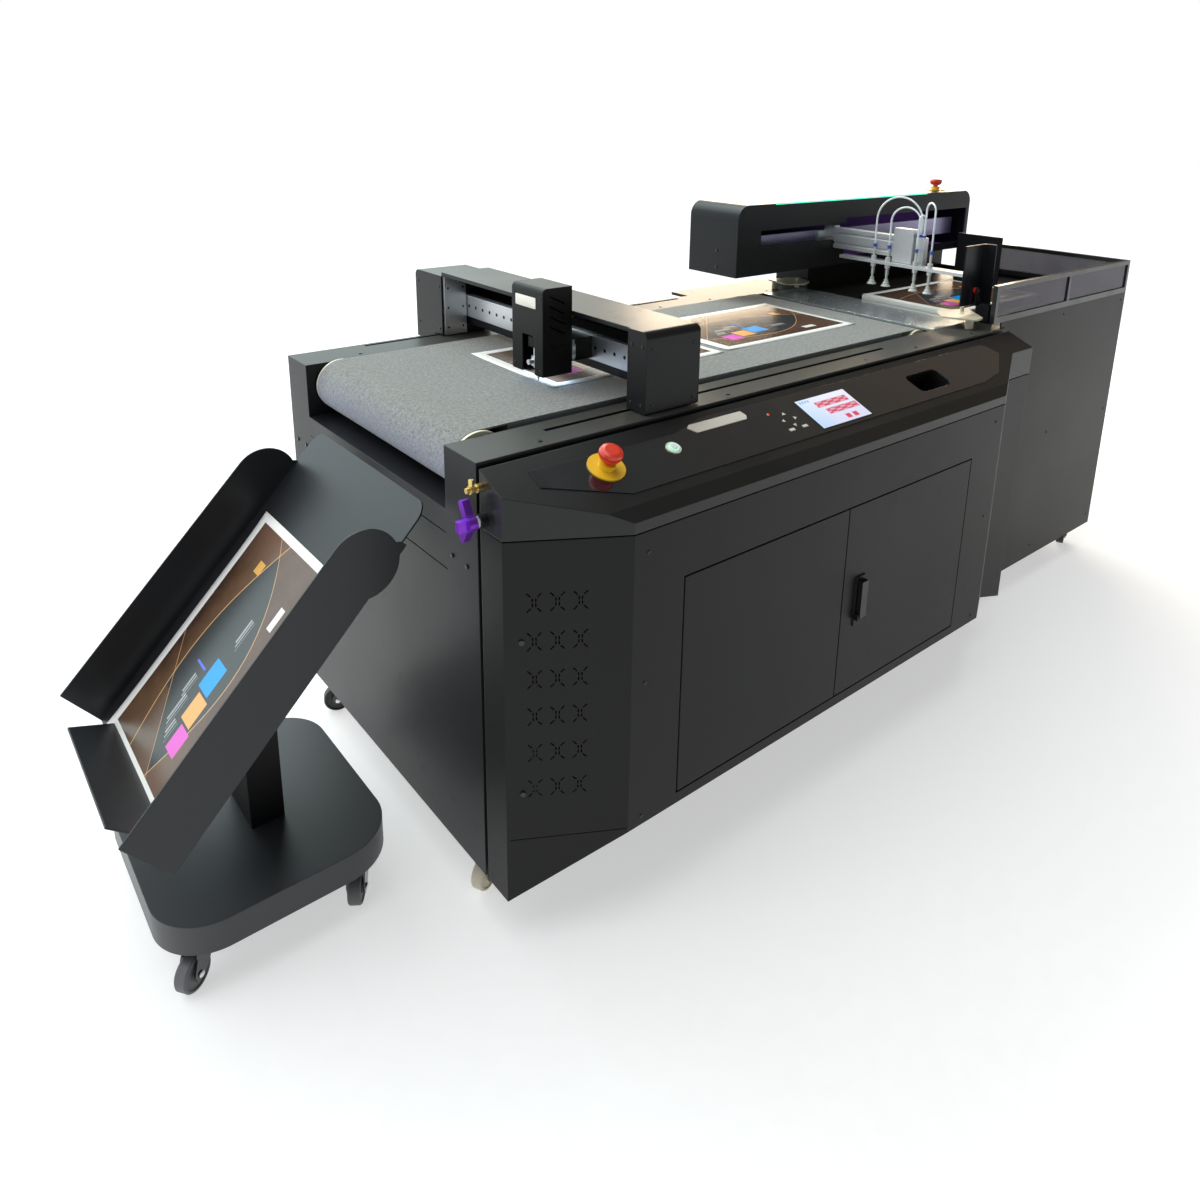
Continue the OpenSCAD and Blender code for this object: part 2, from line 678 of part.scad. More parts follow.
module screw_x(y, z, x = 0) rod_x(x - 2, x, y, z, 4);
module screws() color("#3b3d40") place() {
    for (p = [[35, 654], [81, 655], [cutter_w - 24, 660], [cutter_w - 69, 660]]) screw_x(p[0], p[1]);
    for (z = [housing_low + 22, housing_low + 68]) screw_x(housing_y + 77, z, housing_x);
    for (x = [130, 560, 990, 1180, 1420], y = [20, cutter_w - 70]) rod_z(rail_h, rail_h + 1.5, x, y, 3.5);
    translate([0, -corner_d, 0]) rotate([0, 0, facet_angle])
        for (z = [vent_z - 9, vent_z + 4 * vent_pitch_z])
            translate([27, 0, z]) rotate([90, 0, 0]) cylinder(r = 4.5, h = 2.5);
}

module gantry() color("#202225") place() {
    x1 = gantry_x + gantry_d;
    // near and far end boxes, each with its outer top edge rounded
    difference() {
        prism_x(round_corner(beam_y0, near_box_y, gantry_low, gantry_top, gantry_round), gantry_x, x1);
        box([gantry_x + sheet_t, near_box_y + sheet_t, gantry_low + sheet_t],
            [x1 - sheet_t, beam_y0 - sheet_t, gantry_top - gantry_round]);
    }
    difference() {
        union() {
            prism_x(round_corner(far_box_y, far_box_y + far_box_d, gantry_low, gantry_top - 8, gantry_round),
                    gantry_x, x1);
            box([gantry_x, cutter_w + 3, gantry_low - 23], [x1, far_box_y + far_box_d, gantry_low]);
        }
        box([gantry_x + sheet_t, far_box_y + sheet_t, gantry_low + sheet_t],
            [x1 - sheet_t, far_box_y + far_box_d - sheet_t, gantry_top - 8 - gantry_round]);
    }
    // cover, back wall and the beam that carries the rail
    box([gantry_x + 4, beam_y0, gantry_top - 8], [x1, far_box_y + 4, gantry_top]);
    box([x1 - sheet_t, beam_y0, beam_low + 20], [x1, far_box_y, gantry_top - 8]);
    box([gantry_x + beam_in + 6, beam_y0, beam_low], [x1 - 14, far_box_y, beam_low + 74]);
    // rail on the beam's face
    box([gantry_x + beam_in, beam_y0, head_rail_z0], [gantry_x + beam_in + 6, far_box_y, head_rail_z1]);
    // inner end plate
    box([gantry_x + 6, far_box_y - 4, gantry_low], [gantry_x + beam_in - 2, far_box_y, gantry_top - 8]);
    // webs down through the slots, with their bearing blocks
    for (y = [near_web_y, far_web_y]) {
        box([gantry_x + 5, y, rail_top + slide_gap], [gantry_x + 5 + web_l, y + web_t, gantry_low + 1]);
        box([gantry_x + 25, y - 10, rail_top + slide_gap], [gantry_x + 25 + block_l, y + 12, rail_top + 14]);
    }
}

module carriage() color("#17181a") place() {
    head_shell();
    // block that guides the tool
    difference() {
        box([head_x + 5, tool_y - 15, head_low + 50], [head_x + head_d - 2, tool_y + 15, head_low + 70]);
        rod_z(head_low + 49, head_low + 71, tool_x, tool_y, tool_r + running);
    }
}
module head_shell() difference() {
    union() {
        // shell of the head, with its top edge rounded
        difference() {
            prism_y(round_corner(head_x + head_d, head_x, head_low, head_low + head_h, head_round),
                    head_y, head_y + head_w);
            box([head_x + sheet_t, head_y + sheet_t, head_low + 4],
                [head_x + head_d - sheet_t, head_y + head_w - sheet_t, head_low + head_h - head_round]);
        }
        // arm to the beam's rail
        box([head_x + head_d - sheet_t, head_y + 18, head_rail_z0 + 4],
            [gantry_x + beam_in - slide_gap, head_y + head_w - 18, head_rail_z1 - 4]);
    }
    // front slot, open at the bottom, and the way through for the tool
    box([head_x - 1, tool_y - 13, head_low - 1], [head_x + sheet_t + 6, tool_y + 28, head_low + 74]);
    box([head_x + 2, tool_y - 16, head_low - 1], [head_x + 36, tool_y + 16, head_low + 112]);
    // side vents and small holes
    for (i = [0 : 3])
        translate([0, head_y + 1, head_low + 142 - i * 19]) rotate([90, 0, 0]) linear_extrude(4,
            center = true) polygon([[head_x + 16, 12], [head_x + 50, -5], [head_x + 50, -8],
                                    [head_x + 16, 9]]);
    for (i = [0 : 2])
      rod_y(head_y - 1, head_y + sheet_t + 1, head_x + 20 + i * 12, head_low + 58 - i * 5, 2);
}
module tool_holder() color("#c4c8cc") place() {
    rod_z(head_low + 10, head_low + 96, tool_x, tool_y, tool_r);
    rod_z(head_low + 14, head_low + 32, tool_x, tool_y, tool_r + 4);
    rod_x(tool_x - 24, tool_x - tool_r, tool_y, head_low + 23, 5);
    rod_z(head_low - 8, head_low + 10, tool_x, tool_y, 5);
    translate([tool_x, tool_y, head_low - 18]) cylinder(r1 = 0.8, r2 = 3, h = 10);
}

// One door: a pan with a pivot block and pins at its hinge side
module door(x0, x1, pivot_x) {
    z0 = door_low_h + door_gap;
    z1 = door_low_h + door_h - door_gap;
    difference() {
        box([x0, -front_d, z0], [x1, -front_d + 15, z1]);
        box([x0 + 2, -front_d + sheet_t, z0 + 2], [x1 - 2, -front_d + 16, z1 - 2]);
    }
    for (z = [z0, z1 - 10])
        box([pivot_x - 4, -front_d + sheet_t, z], [pivot_x + 4, -front_d + 10, z + 10]);
    rod_z(z1 - 1, door_low_h + door_h + hinge_pin_l - 1, pivot_x, hinge_y, hinge_pin_r);
    rod_z(door_low_h - hinge_pin_l + 1, z0 + 1, pivot_x, hinge_y, hinge_pin_r);
}
module left_door() color("#1a1b1c") place()
    door(door_x + door_gap, door_mid - door_gap / 2, door_x + hinge_in);
module right_door() color("#1a1b1c") place() {
    door(door_mid + door_gap / 2, door_x + door_w - door_gap, door_x + door_w - hinge_in);
    box([handle_x, -front_d - 3, handle_z], [handle_x + handle_w, -front_d, handle_z + handle_h]);
    difference() {
        for (x = [handle_x, handle_x + handle_w - 4])
            box([x, -front_d - 12, handle_axis_z - 7], [x + 4, -front_d - 3, handle_axis_z + 7]);
        rod_x(handle_x - 1, handle_x + handle_w + 1, handle_axis_y, handle_axis_z, 2 + running);
    }
}
module door_handle() color("#101112") place() {
    box([handle_x + 4.5, -front_d - handle_out, handle_axis_z - 2],
        [handle_x + handle_w - 4.5, -front_d - 4, handle_z + handle_h - 8]);
    rod_x(handle_x + 0.5, handle_x + handle_w - 0.5, handle_axis_y, handle_axis_z, 2);
}

// Aluminium profile with a groove along each side, from y0 to y1
module profile(w, h) difference() {
    square([w, h]);
    for (z = [h / 4, 3 * h / 4]) {
        translate([-1, z - 4]) square([5, 8]);
        translate([w - 4, z - 4]) square([5, 8]);
    }
}
module pick_arm() color("#c9cccf") place() {
    translate([arm_x, arm_far, arm_low]) rotate([90, 0, 0]) linear_extrude(arm_far - arm_near)
        profile(arm_w, arm_h);
    // carriage behind the housing's slot
    box([arm_x + 4, arm_far, slot_low + 4], [arm_x + arm_w - 4, pick_rail_y - 12, slot_high - 4]);
    box([arm_x - 22, pick_rail_y - 12, pick_rail_z + 2], [arm_x + arm_w + 22, pick_rail_y - slide_gap,
        pick_rail_z + pick_rail_h]);
    // twin lift cylinder
    difference() {
        box([arm_x - 2, lift_near, lift_low], [arm_x + 24, arm_near, lift_high]);
        for (s = [-1, 1])
            rod_z(lift_low - 1, lift_high - 8, lift_rod_x, lift_mid_y + s * lift_rod_pitch / 2,
                  lift_rod_r + running);
    }
}
module lift_bar() color("#d0d3d6") place() {
    difference() {
        box([arm_x - 14, bar_near, bar_top - bar_t], [arm_x + 22, bar_far, bar_top]);
        for (y = cup_ys) rod_z(bar_top - 20, bar_top + 1, cup_line_x, y, cup_stem_r);
    }
    for (s = [-1, 1])
        rod_z(bar_top - 1, lift_high - 16, lift_rod_x, lift_mid_y + s * lift_rod_pitch / 2, lift_rod_r);
    // manifold that the air tubes start from
    box([arm_x + 8, lift_near - 31, bar_top], [arm_x + 28, lift_near - 4, lift_high - 20]);
}
module suction_cups() color("#b5b8bb") place() for (y = cup_ys) translate([cup_line_x, y, 0]) {
    rod_z(cup_low + 18, bar_top + 40, 0, 0, cup_stem_r);
    rod_z(bar_top, bar_top + 12, 0, 0, cup_stem_r + 4);
    rod_z(bar_top - bar_t - 10, bar_top - bar_t, 0, 0, cup_stem_r + 4);
    translate([0, 0, cup_low]) rotate_extrude() polygon([
        [0, 4], [5, 2], [13, 0], [13, 1.5], [8, 8], [9, 10], [6, 13], [6, 20], [0, 20]
    ]);
}
tube_r = 2.6;
tube_sides = 10;
tube_foot_z = bar_top + 40;
manifold_top = lift_high - 20;
// A ring of points round a tube's centre line, t degrees along its half turn towards d
function tube_ring(at, d, t) = [
    for (k = [0 : tube_sides - 1])
        let (c = cos(k * 360 / tube_sides), s = sin(k * 360 / tube_sides))
            at + tube_r * [-c * cos(t) * d[0] - s * d[1], -c * cos(t) * d[1] + s * d[0], c * sin(t)]
];
// One tube: up from its cup, over in a half ring, down into the manifold's port
module tube_loop(y, port, rise) {
    from = [cup_line_x, y, tube_foot_z];
    to = [arm_x + port[0], lift_near + port[1], manifold_top];
    flat = [to[0] - from[0], to[1] - from[1], 0];
    d = unit(flat);
    half = norm(flat) / 2;
    centre = [(from[0] + to[0]) / 2, (from[1] + to[1]) / 2, tube_foot_z + rise];
    rings = [
        tube_ring(from, d, 0),
        for (t = [0 : 15 : 180]) tube_ring(centre - half * cos(t) * d + [0, 0, half * sin(t)], d, t),
        tube_ring(to, d, 180)
    ];
    last = len(rings) - 1;
    n = tube_sides;
    polyhedron([for (ring = rings) each ring], [
        [for (k = [0 : n - 1]) k],
        for (i = [0 : last - 1], k = [0 : n - 1])
            [i * n + k, (i + 1) * n + k, (i + 1) * n + (k + 1) % n, i * n + (k + 1) % n],
        [for (k = [n - 1 : -1 : 0]) last * n + k]
    ]);
}
module air_tubes() color("#e4e9ee") place() {
    tube_loop(cup_ys[0], [14, -25], 112);
    tube_loop(cup_ys[1], [23, -18], 84);
    tube_loop(cup_ys[2], [14, -10], 74);
    tube_loop(cup_ys[3], [23, -9], 76);
}

module stack_table() color("#34363a") place() {
    box([stack_x, bin_y0 + 4, table_low], [bin_x1 - 4, bin_y1 - 4, table_low + 6]);
    difference() {
        box([stack_x + 80, bin_y1 - 10, table_low - 40], [stack_x + 360, guide_rod_y + 20, table_low]);
        for (x = guide_rod_xs)
            rod_z(table_low - 50, table_low + 10, x, guide_rod_y, guide_rod_r + running);
    }
}
module sheet_stack() color("#efece6") place()
    box([stack_x, stack_y, stack_top - stack_h], [stack_x + media_l, stack_y + media_w, stack_top]);

guide_x = cutter_l - 57;
guide_w = 98;
guide_y = 100;
guide_low = rail_h + 44;
guide_high = rail_h + 200;
guide_foot = 26;
clamp_x = guide_x + 51;
clamp_z = guide_low + 40;
module side_guide() color("#26282b") place() {
    box([guide_x, guide_y, guide_low], [guide_x + guide_w, guide_y + 4, guide_high]);
    box([guide_x + guide_w - 4, guide_y - 28, guide_low], [guide_x + guide_w, guide_y, guide_high]);
    // foot that slides on the feeder's deck
    box([guide_x + guide_w - guide_foot, guide_y - 40, deck_z + slide_gap],
        [guide_x + guide_w, guide_y - 2, guide_low]);
    box([guide_x + guide_w - guide_foot, guide_y - 40, guide_low],
        [guide_x + guide_w - 4, guide_y, guide_low + 4]);
    // clevis of the toggle clamp
    difference() {
        box([clamp_x - 10, guide_y - 16, guide_low], [clamp_x + 10, guide_y, clamp_z + 6]);
        rod_y(guide_y - 30, guide_y + 10, clamp_x, clamp_z, 3 + running);
        box([clamp_x - 14, guide_y - 13, guide_low + 4], [clamp_x + 14, guide_y - 5, clamp_z + 20]);
    }
}
module clamp_handle() color("#c8281e") place() {
    rod_y(guide_y - 16, guide_y - 1, clamp_x, clamp_z, 3);
    translate([clamp_x, guide_y - 5.5, clamp_z]) rotate([90, 0, 0]) linear_extrude(7) {
        circle(r = 7);
        rotate(-60) translate([0, -4]) round_rect(34, 8, 3.9);
    }
}
tail_x = stack_x + media_l + 2;
tail_y0 = 290;
tail_y1 = 440;
tail_high = housing_low + 87;
module tail_stop() color("#26282b") place() {
    box([tail_x, tail_y0, deck_z + slide_gap], [tail_x + 4, tail_y1, tail_high]);
    box([tail_x + 4, tail_y0, deck_z + slide_gap], [tail_x + 80, tail_y1, deck_z + 4]);
    box([tail_x + 4, tail_y1 - 4, deck_z + 4], [tail_x + 30, tail_y1, tail_high]);
}

// A swinging hold-down: a pivot post and a plate with round corners, and its pressing knob
module paddle(corners, knob) {
    rod_z(slide_gap, 24, 0, 0, post_r + 4);
    translate([0, 0, 24]) linear_extrude(4) hull() for (p = corners) translate(p) circle(r = 12, $fn = 32);
    rod_z(10, 24, knob[0], knob[1], 7);
    rod_z(28, 40, knob[0], knob[1], 5);
}
near_paddle_at = [cutter_l - 89, 52];
far_paddle_at = [cutter_l - 89, cutter_w - 67];
module near_paddle() color("#c9b894") place()
    translate([near_paddle_at[0], near_paddle_at[1], rail_h])
        paddle([[-30, 50], [-2, -12], [24, -8], [84, 62], [14, 90]], [60, 58]);
module far_paddle() color("#c9b894") place()
    translate([far_paddle_at[0], far_paddle_at[1], rail_h])
        paddle([[-4, 10], [76, -18], [56, -70], [18, -86], [-16, -62]], [32, -58]);

module trolley_base() color("#232527") place() {
    translate([left_end, trolley_y - base_w / 2, floor_gap]) difference() {
        linear_extrude(base_h) round_rect(base_l, base_w, base_corner);
        translate([0, 0, -1]) linear_extrude(base_h - sheet_t) translate([sheet_t, sheet_t])
            round_rect(base_l - 2 * sheet_t, base_w - 2 * sheet_t, base_corner - sheet_t);
    }
    for (at = tray_casters) caster_plate(at, base_h - sheet_t);
}
module trolley_post() color("#0e0f10") place() difference() {
    box([post_x - post_w / 2, trolley_y - post_l / 2, floor_gap + base_h],
        [post_x + post_w / 2, trolley_y + post_l / 2, tray_top_h]);
    in_tray() box([-900, 0, -tray_under], [200, 900, 600]);
    box([post_x - post_w / 2 + 4, trolley_y - post_l / 2 + 4, floor_gap + base_h - 1],
        [post_x + post_w / 2 - 4, trolley_y + post_l / 2 - 4, tray_top_h]);
}
module catch_tray() color("#2c2e31") place() in_tray() {
    // floor of the tray, with round upper corners
    translate([0, 0, -sheet_t]) linear_extrude(sheet_t) {
        translate([-tray_l, tray_y]) square([tray_l - 30, tray_w]);
        translate([-60, tray_y + 30]) square([60, tray_w - 60]);
        for (y = [tray_y + 30, tray_y + tray_w - 30]) translate([-30, y]) circle(r = 30);
    }
    // side walls, rounded at their upper ends
    for (y = [tray_y, tray_y + tray_w - sheet_t])
        translate([0, y + sheet_t, 0]) rotate([90, 0, 0]) linear_extrude(sheet_t) {
            polygon([[-tray_l, -12], [-tray_l, 0], [-tray_l + 16, tray_wall_h], [-130, tray_wall_h],
                     [-70, 0], [-70, -12]]);
            translate([-130, tray_wall_h - 60]) circle(r = 60);
        }
    // end wall
    translate([-tray_l + tray_end_in, 0, 0]) rotate([0, -tray_end_lean, 0])
        rotate([90, 0, 90]) linear_extrude(sheet_t)
            polygon([[tray_y + 50, -eps], [tray_y + tray_w - 50, -eps], [tray_y + tray_w - 80, tray_end_h],
                     [tray_y + 80, tray_end_h]]);
    // saddle over the post
    box([-430, trolley_y - post_l / 2 - 10, -tray_under], [-300, trolley_y + post_l / 2 + 10, -sheet_t]);
}

// A caster's fork with its kingpin and axle; the wheel trails by caster_trail
module fork(at, heading) translate([at[0], at[1], 0]) rotate(heading) {
    rod_z(neck_top - 1, floor_gap - 1, 0, 0, kingpin_r);
    rod_z(neck_top - 10, neck_top, 0, 0, 24);
    for (s = [-1, 1])
        translate([0, s * (wheel_w / 2 + fork_gap + 1.5) + 1.5, 0]) rotate([90, 0, 0]) linear_extrude(3)
            polygon([[-18, neck_top - 6], [18, neck_top - 6],
                     [caster_trail + 12, wheel_r + 4], [caster_trail + 8, wheel_r - 9],
                     [caster_trail - 8, wheel_r - 9], [-18, neck_top - 18]]);
    rod_y(-wheel_w / 2 - fork_gap - 4, wheel_w / 2 + fork_gap + 4, caster_trail, wheel_r, axle_r);
}
module wheel(at, heading) translate([at[0], at[1], 0]) rotate(heading)
    translate([caster_trail, 0, wheel_r]) rotate([90, 0, 0]) rotate_extrude() polygon([
        [axle_r + running, -wheel_w / 2 - 1], [12, -wheel_w / 2 - 1], [12, -wheel_w / 2 + 2],
        [wheel_r - 6, -wheel_w / 2 + 2], [wheel_r - 5, -wheel_w / 2], [wheel_r - 2, -wheel_w / 2],
        [wheel_r, -wheel_w / 2 + 2.5], [wheel_r, wheel_w / 2 - 2.5], [wheel_r - 2, wheel_w / 2],
        [wheel_r - 5, wheel_w / 2], [wheel_r - 6, wheel_w / 2 - 2], [12, wheel_w / 2 - 2],
        [12, wheel_w / 2 + 1], [axle_r + running, wheel_w / 2 + 1]
    ]);
headings = [205, 160, 20, -30, 215, 150, 235, 30];
module fork_exit_near() color("#1b1b1c") place() fork(machine_casters[0], headings[0]);
module wheel_exit_near() color("#cfc7b2") place() wheel(machine_casters[0], headings[0]);
module fork_exit_far() color("#1b1b1c") place() fork(machine_casters[1], headings[1]);
module wheel_exit_far() color("#2b2b2c") place() wheel(machine_casters[1], headings[1]);
module fork_feed_near() color("#1b1b1c") place() fork(machine_casters[2], headings[2]);
module wheel_feed_near() color("#2b2b2c") place() wheel(machine_casters[2], headings[2]);
module fork_feed_far() color("#1b1b1c") place() fork(machine_casters[3], headings[3]);
module wheel_feed_far() color("#2b2b2c") place() wheel(machine_casters[3], headings[3]);
module fork_tray_a() color("#1b1b1c") place() fork(tray_casters[0], headings[4]);
module wheel_tray_a() color("#6d6f72") place() wheel(tray_casters[0], headings[4]);
module fork_tray_b() color("#1b1b1c") place() fork(tray_casters[1], headings[5]);
module wheel_tray_b() color("#6d6f72") place() wheel(tray_casters[1], headings[5]);
module fork_tray_c() color("#1b1b1c") place() fork(tray_casters[2], headings[6]);
module wheel_tray_c() color("#6d6f72") place() wheel(tray_casters[2], headings[6]);
module fork_tray_d() color("#1b1b1c") place() fork(tray_casters[3], headings[7]);
module wheel_tray_d() color("#6d6f72") place() wheel(tray_casters[3], headings[7]);

machine_frame();
front_shell();
console_shell();
console_inlay();
display();
console_trim();
stop_rings();
air_fittings();
vacuum_table();
felt_belt();
linear_rails();
feeder_cabinet();
guard_panels();
guard_rim();
rear_housing();
led_strip();
transfer_plate();
screws();
gantry();
carriage();
tool_holder();
exit_roller();
feed_roller();
left_door();
right_door();
door_handle();
front_stop_button();
rear_stop_button();
power_button();
valve_lever();
pick_arm();
lift_bar();
air_tubes();
suction_cups();
stack_table();
sheet_stack();
side_guide();
tail_stop();
clamp_handle();
near_paddle();
far_paddle();
trolley_base();
trolley_post();
catch_tray();
fork_exit_near();
wheel_exit_near();
fork_exit_far();
wheel_exit_far();
fork_feed_near();
wheel_feed_near();
fork_feed_far();
wheel_feed_far();
fork_tray_a();
wheel_tray_a();
fork_tray_b();
wheel_tray_b();
fork_tray_c();
wheel_tray_c();
fork_tray_d();
wheel_tray_d();
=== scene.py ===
# Looks of a flatbed digital cutter with its sheet feeder and catch tray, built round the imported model
import math

import bpy
import numpy as np
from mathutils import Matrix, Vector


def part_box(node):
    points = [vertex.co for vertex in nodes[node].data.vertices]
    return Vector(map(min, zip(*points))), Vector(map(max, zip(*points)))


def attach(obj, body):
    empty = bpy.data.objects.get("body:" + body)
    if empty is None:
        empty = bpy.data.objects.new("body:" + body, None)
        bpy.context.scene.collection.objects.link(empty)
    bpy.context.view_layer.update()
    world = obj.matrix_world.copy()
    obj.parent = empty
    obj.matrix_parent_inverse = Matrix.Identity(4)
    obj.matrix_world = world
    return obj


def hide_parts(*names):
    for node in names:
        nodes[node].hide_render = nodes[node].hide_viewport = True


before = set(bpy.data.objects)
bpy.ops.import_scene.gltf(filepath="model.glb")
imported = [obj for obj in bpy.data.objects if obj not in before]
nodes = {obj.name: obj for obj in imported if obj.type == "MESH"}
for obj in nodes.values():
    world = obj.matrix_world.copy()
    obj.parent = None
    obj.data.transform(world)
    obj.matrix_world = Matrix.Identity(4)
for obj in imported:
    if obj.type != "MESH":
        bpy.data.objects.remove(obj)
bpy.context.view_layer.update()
mm = 0.001
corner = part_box("machine_frame")[0]


# Millimetres from the cutter's exit corner on the operator's side, the floor at zero, to the frame's metres
def at(points):
    p = np.asarray(points, float) * mm
    return p + np.array([corner.x, corner.y, 0.0])


def unit(v):
    v = np.asarray(v, float)
    return v / np.linalg.norm(v)


# The camera's place in millimetres and its angles in degrees, the heading from +Y towards +X
view = {
    "place": (-655.5, -1129.6, 1354.1),
    "heading": 40.349,
    "elevation": -15.220,
    "roll": 1.283,
    "sensor": 36.0,
    "lens": 27.55,
    "shift": (-0.0273, -0.1994),
}


def makeCamera(spec):
    az, el, roll = (math.radians(spec[k]) for k in ("heading", "elevation", "roll"))
    ahead = np.array([math.cos(el) * math.sin(az), math.cos(el) * math.cos(az), math.sin(el)])
    right = unit(np.cross(ahead, (0, 0, 1)))
    up = np.cross(right, ahead)
    turnedRight = math.cos(roll) * right + math.sin(roll) * up
    turnedUp = -math.sin(roll) * right + math.cos(roll) * up
    data = bpy.data.cameras.new("camera")
    data.sensor_width = spec["sensor"]
    data.lens = spec["lens"]
    data.shift_x, data.shift_y = spec["shift"]
    data.clip_start, data.clip_end = 0.05, 100
    camera = bpy.data.objects.new("camera", data)
    matrix = np.eye(4)
    matrix[:3, 0], matrix[:3, 1], matrix[:3, 2] = turnedRight, turnedUp, -ahead
    matrix[:3, 3] = at(spec["place"])
    camera.matrix_world = matrix.T.tolist()
    bpy.context.scene.collection.objects.link(camera)
    bpy.context.scene.camera = camera


# Each lamp: its place and target in metres, width and height in metres, power in watts, colour
lamps = {
    "leftSoft": ((-4.2, 0.6, 1.6), (-0.6, 0, 0.5), (2.6, 2.4), 26, (0.84, 0.84, 1.0)),
    "topStrip": ((-0.2, 1.6, 3.0), (-0.2, 0.0, 0.9), (3.2, 0.8), 30, (0.84, 1.0, 0.97)),
    "warmRight": ((3.6, 2.6, 1.7), (0.4, 0.1, 0.9), (2.6, 1.2), 95, (1.0, 0.80, 0.58)),
}
# The sky's colours and strengths, and the sideways and backward directions between which they change
sky = {"cool": (0.80, 0.97, 0.98), "warm": (1.0, 0.80, 0.60), "front": 0.20, "back": 2.10, "seen": 1.0,
       "turnsFrom": 0.40, "turnsTo": 0.82, "risesFrom": 0.42, "risesTo": 0.84,
       "sunStrength": 2.3, "sunSpread": 75, "sunFrom": (-0.25, 0.35, 1.0)}


def makeLamps(table):
    for name, (place, target, size, power, colour) in table.items():
        data = bpy.data.lights.new(name, "AREA")
        data.shape = "RECTANGLE"
        data.size, data.size_y = size
        data.energy = power
        data.color = colour
        hang(name, data, place, np.subtract(place, target))


# Puts a lamp in place so that it shines against the direction back
def hang(name, data, place, back):
    lamp = bpy.data.objects.new(name, data)
    back = unit(back)
    side = unit(np.cross((0, 0, 1), back))
    matrix = np.eye(4)
    matrix[:3, 0], matrix[:3, 1], matrix[:3, 2] = side, np.cross(back, side), back
    matrix[:3, 3] = place
    lamp.matrix_world = matrix.T.tolist()
    bpy.context.scene.collection.objects.link(lamp)


# A wide soft sun, and a sky that is brighter behind the machine and turns from cool to warm
# towards the feeder
def makeSky(spec):
    data = bpy.data.lights.new("softSun", "SUN")
    data.energy = spec["sunStrength"]
    data.angle = math.radians(spec["sunSpread"])
    hang("softSun", data, (0, 0, 6), spec["sunFrom"])
    world = bpy.data.worlds.new("studio")
    world.use_nodes = True
    tree = world.node_tree
    tree.nodes.clear()
    way = tree.nodes.new("ShaderNodeTexCoord")
    split = tree.nodes.new("ShaderNodeSeparateXYZ")
    ramp = tree.nodes.new("ShaderNodeValToRGB")
    rise = tree.nodes.new("ShaderNodeMapRange")
    lit = tree.nodes.new("ShaderNodeBackground")
    seen = tree.nodes.new("ShaderNodeBackground")
    path = tree.nodes.new("ShaderNodeLightPath")
    choose = tree.nodes.new("ShaderNodeMixShader")
    output = tree.nodes.new("ShaderNodeOutputWorld")
    first, last = ramp.color_ramp.elements
    first.position, last.position = spec["turnsFrom"], spec["turnsTo"]
    first.color, last.color = (*spec["cool"], 1.0), (*spec["warm"], 1.0)
    rise.interpolation_type = "SMOOTHSTEP"
    rise.inputs["From Min"].default_value = spec["risesFrom"]
    rise.inputs["From Max"].default_value = spec["risesTo"]
    rise.inputs["To Min"].default_value = spec["front"]
    rise.inputs["To Max"].default_value = spec["back"]
    seen.inputs["Color"].default_value = (1.0, 1.0, 1.0, 1.0)
    seen.inputs["Strength"].default_value = spec["seen"]
    for a, b in ((way.outputs["Generated"], split.inputs[0]),
                 (split.outputs["X"], ramp.inputs["Fac"]),
                 (split.outputs["Y"], rise.inputs["Value"]),
                 (rise.outputs["Result"], lit.inputs["Strength"]),
                 (ramp.outputs["Color"], lit.inputs["Color"]),
                 (path.outputs["Is Camera Ray"], choose.inputs[0]),
                 (lit.outputs[0], choose.inputs[1]), (seen.outputs[0], choose.inputs[2]),
                 (choose.outputs[0], output.inputs["Surface"])):
        tree.links.new(a, b)
    scene = bpy.context.scene
    scene.world = world
    scene.view_settings.view_transform = "Standard"


# A number that varies over a surface, with Python's own operators
class Varying:
    def __init__(self, paint, socket):
        self.paint = paint
        self.socket = socket

    def maths(self, operation, *others):
        return self.paint.add("ShaderNodeMath", {"operation": operation}, dict(enumerate((self, *others))))

    def __add__(self, other):
        return self.maths("ADD", other)

    def __sub__(self, other):
        return self.maths("SUBTRACT", other)

    def __rsub__(self, other):
        return self.paint.add("ShaderNodeMath", {"operation": "SUBTRACT"}, {0: other, 1: self})

    def __mul__(self, other):
        return self.maths("MULTIPLY", other)

    def __truediv__(self, other):
        return self.maths("DIVIDE", other)

    def __pow__(self, other):
        return self.maths("POWER", other)

    __radd__ = __add__
    __rmul__ = __mul__

    def lowest(self, other):
        return self.maths("MINIMUM", other)

    def highest(self, other):
        return self.maths("MAXIMUM", other)

    def size(self):
        return self.maths("ABSOLUTE")

    def sine(self):
        return self.maths("SINE")

    def cell(self):
        return self.maths("FLOOR")

    # 0 below low, 1 above high, smooth between
    def ramp(self, low, high):
        return self.paint.add("ShaderNodeMapRange", {"interpolation_type": "SMOOTHSTEP"},
                              {"Value": self, "From Min": low, "From Max": high})

    # 1 inside the band from low to high, with soft edges
    def band(self, low, high, soft):
        return self.ramp(low - soft, low + soft) * (1 - self.ramp(high - soft, high + soft))


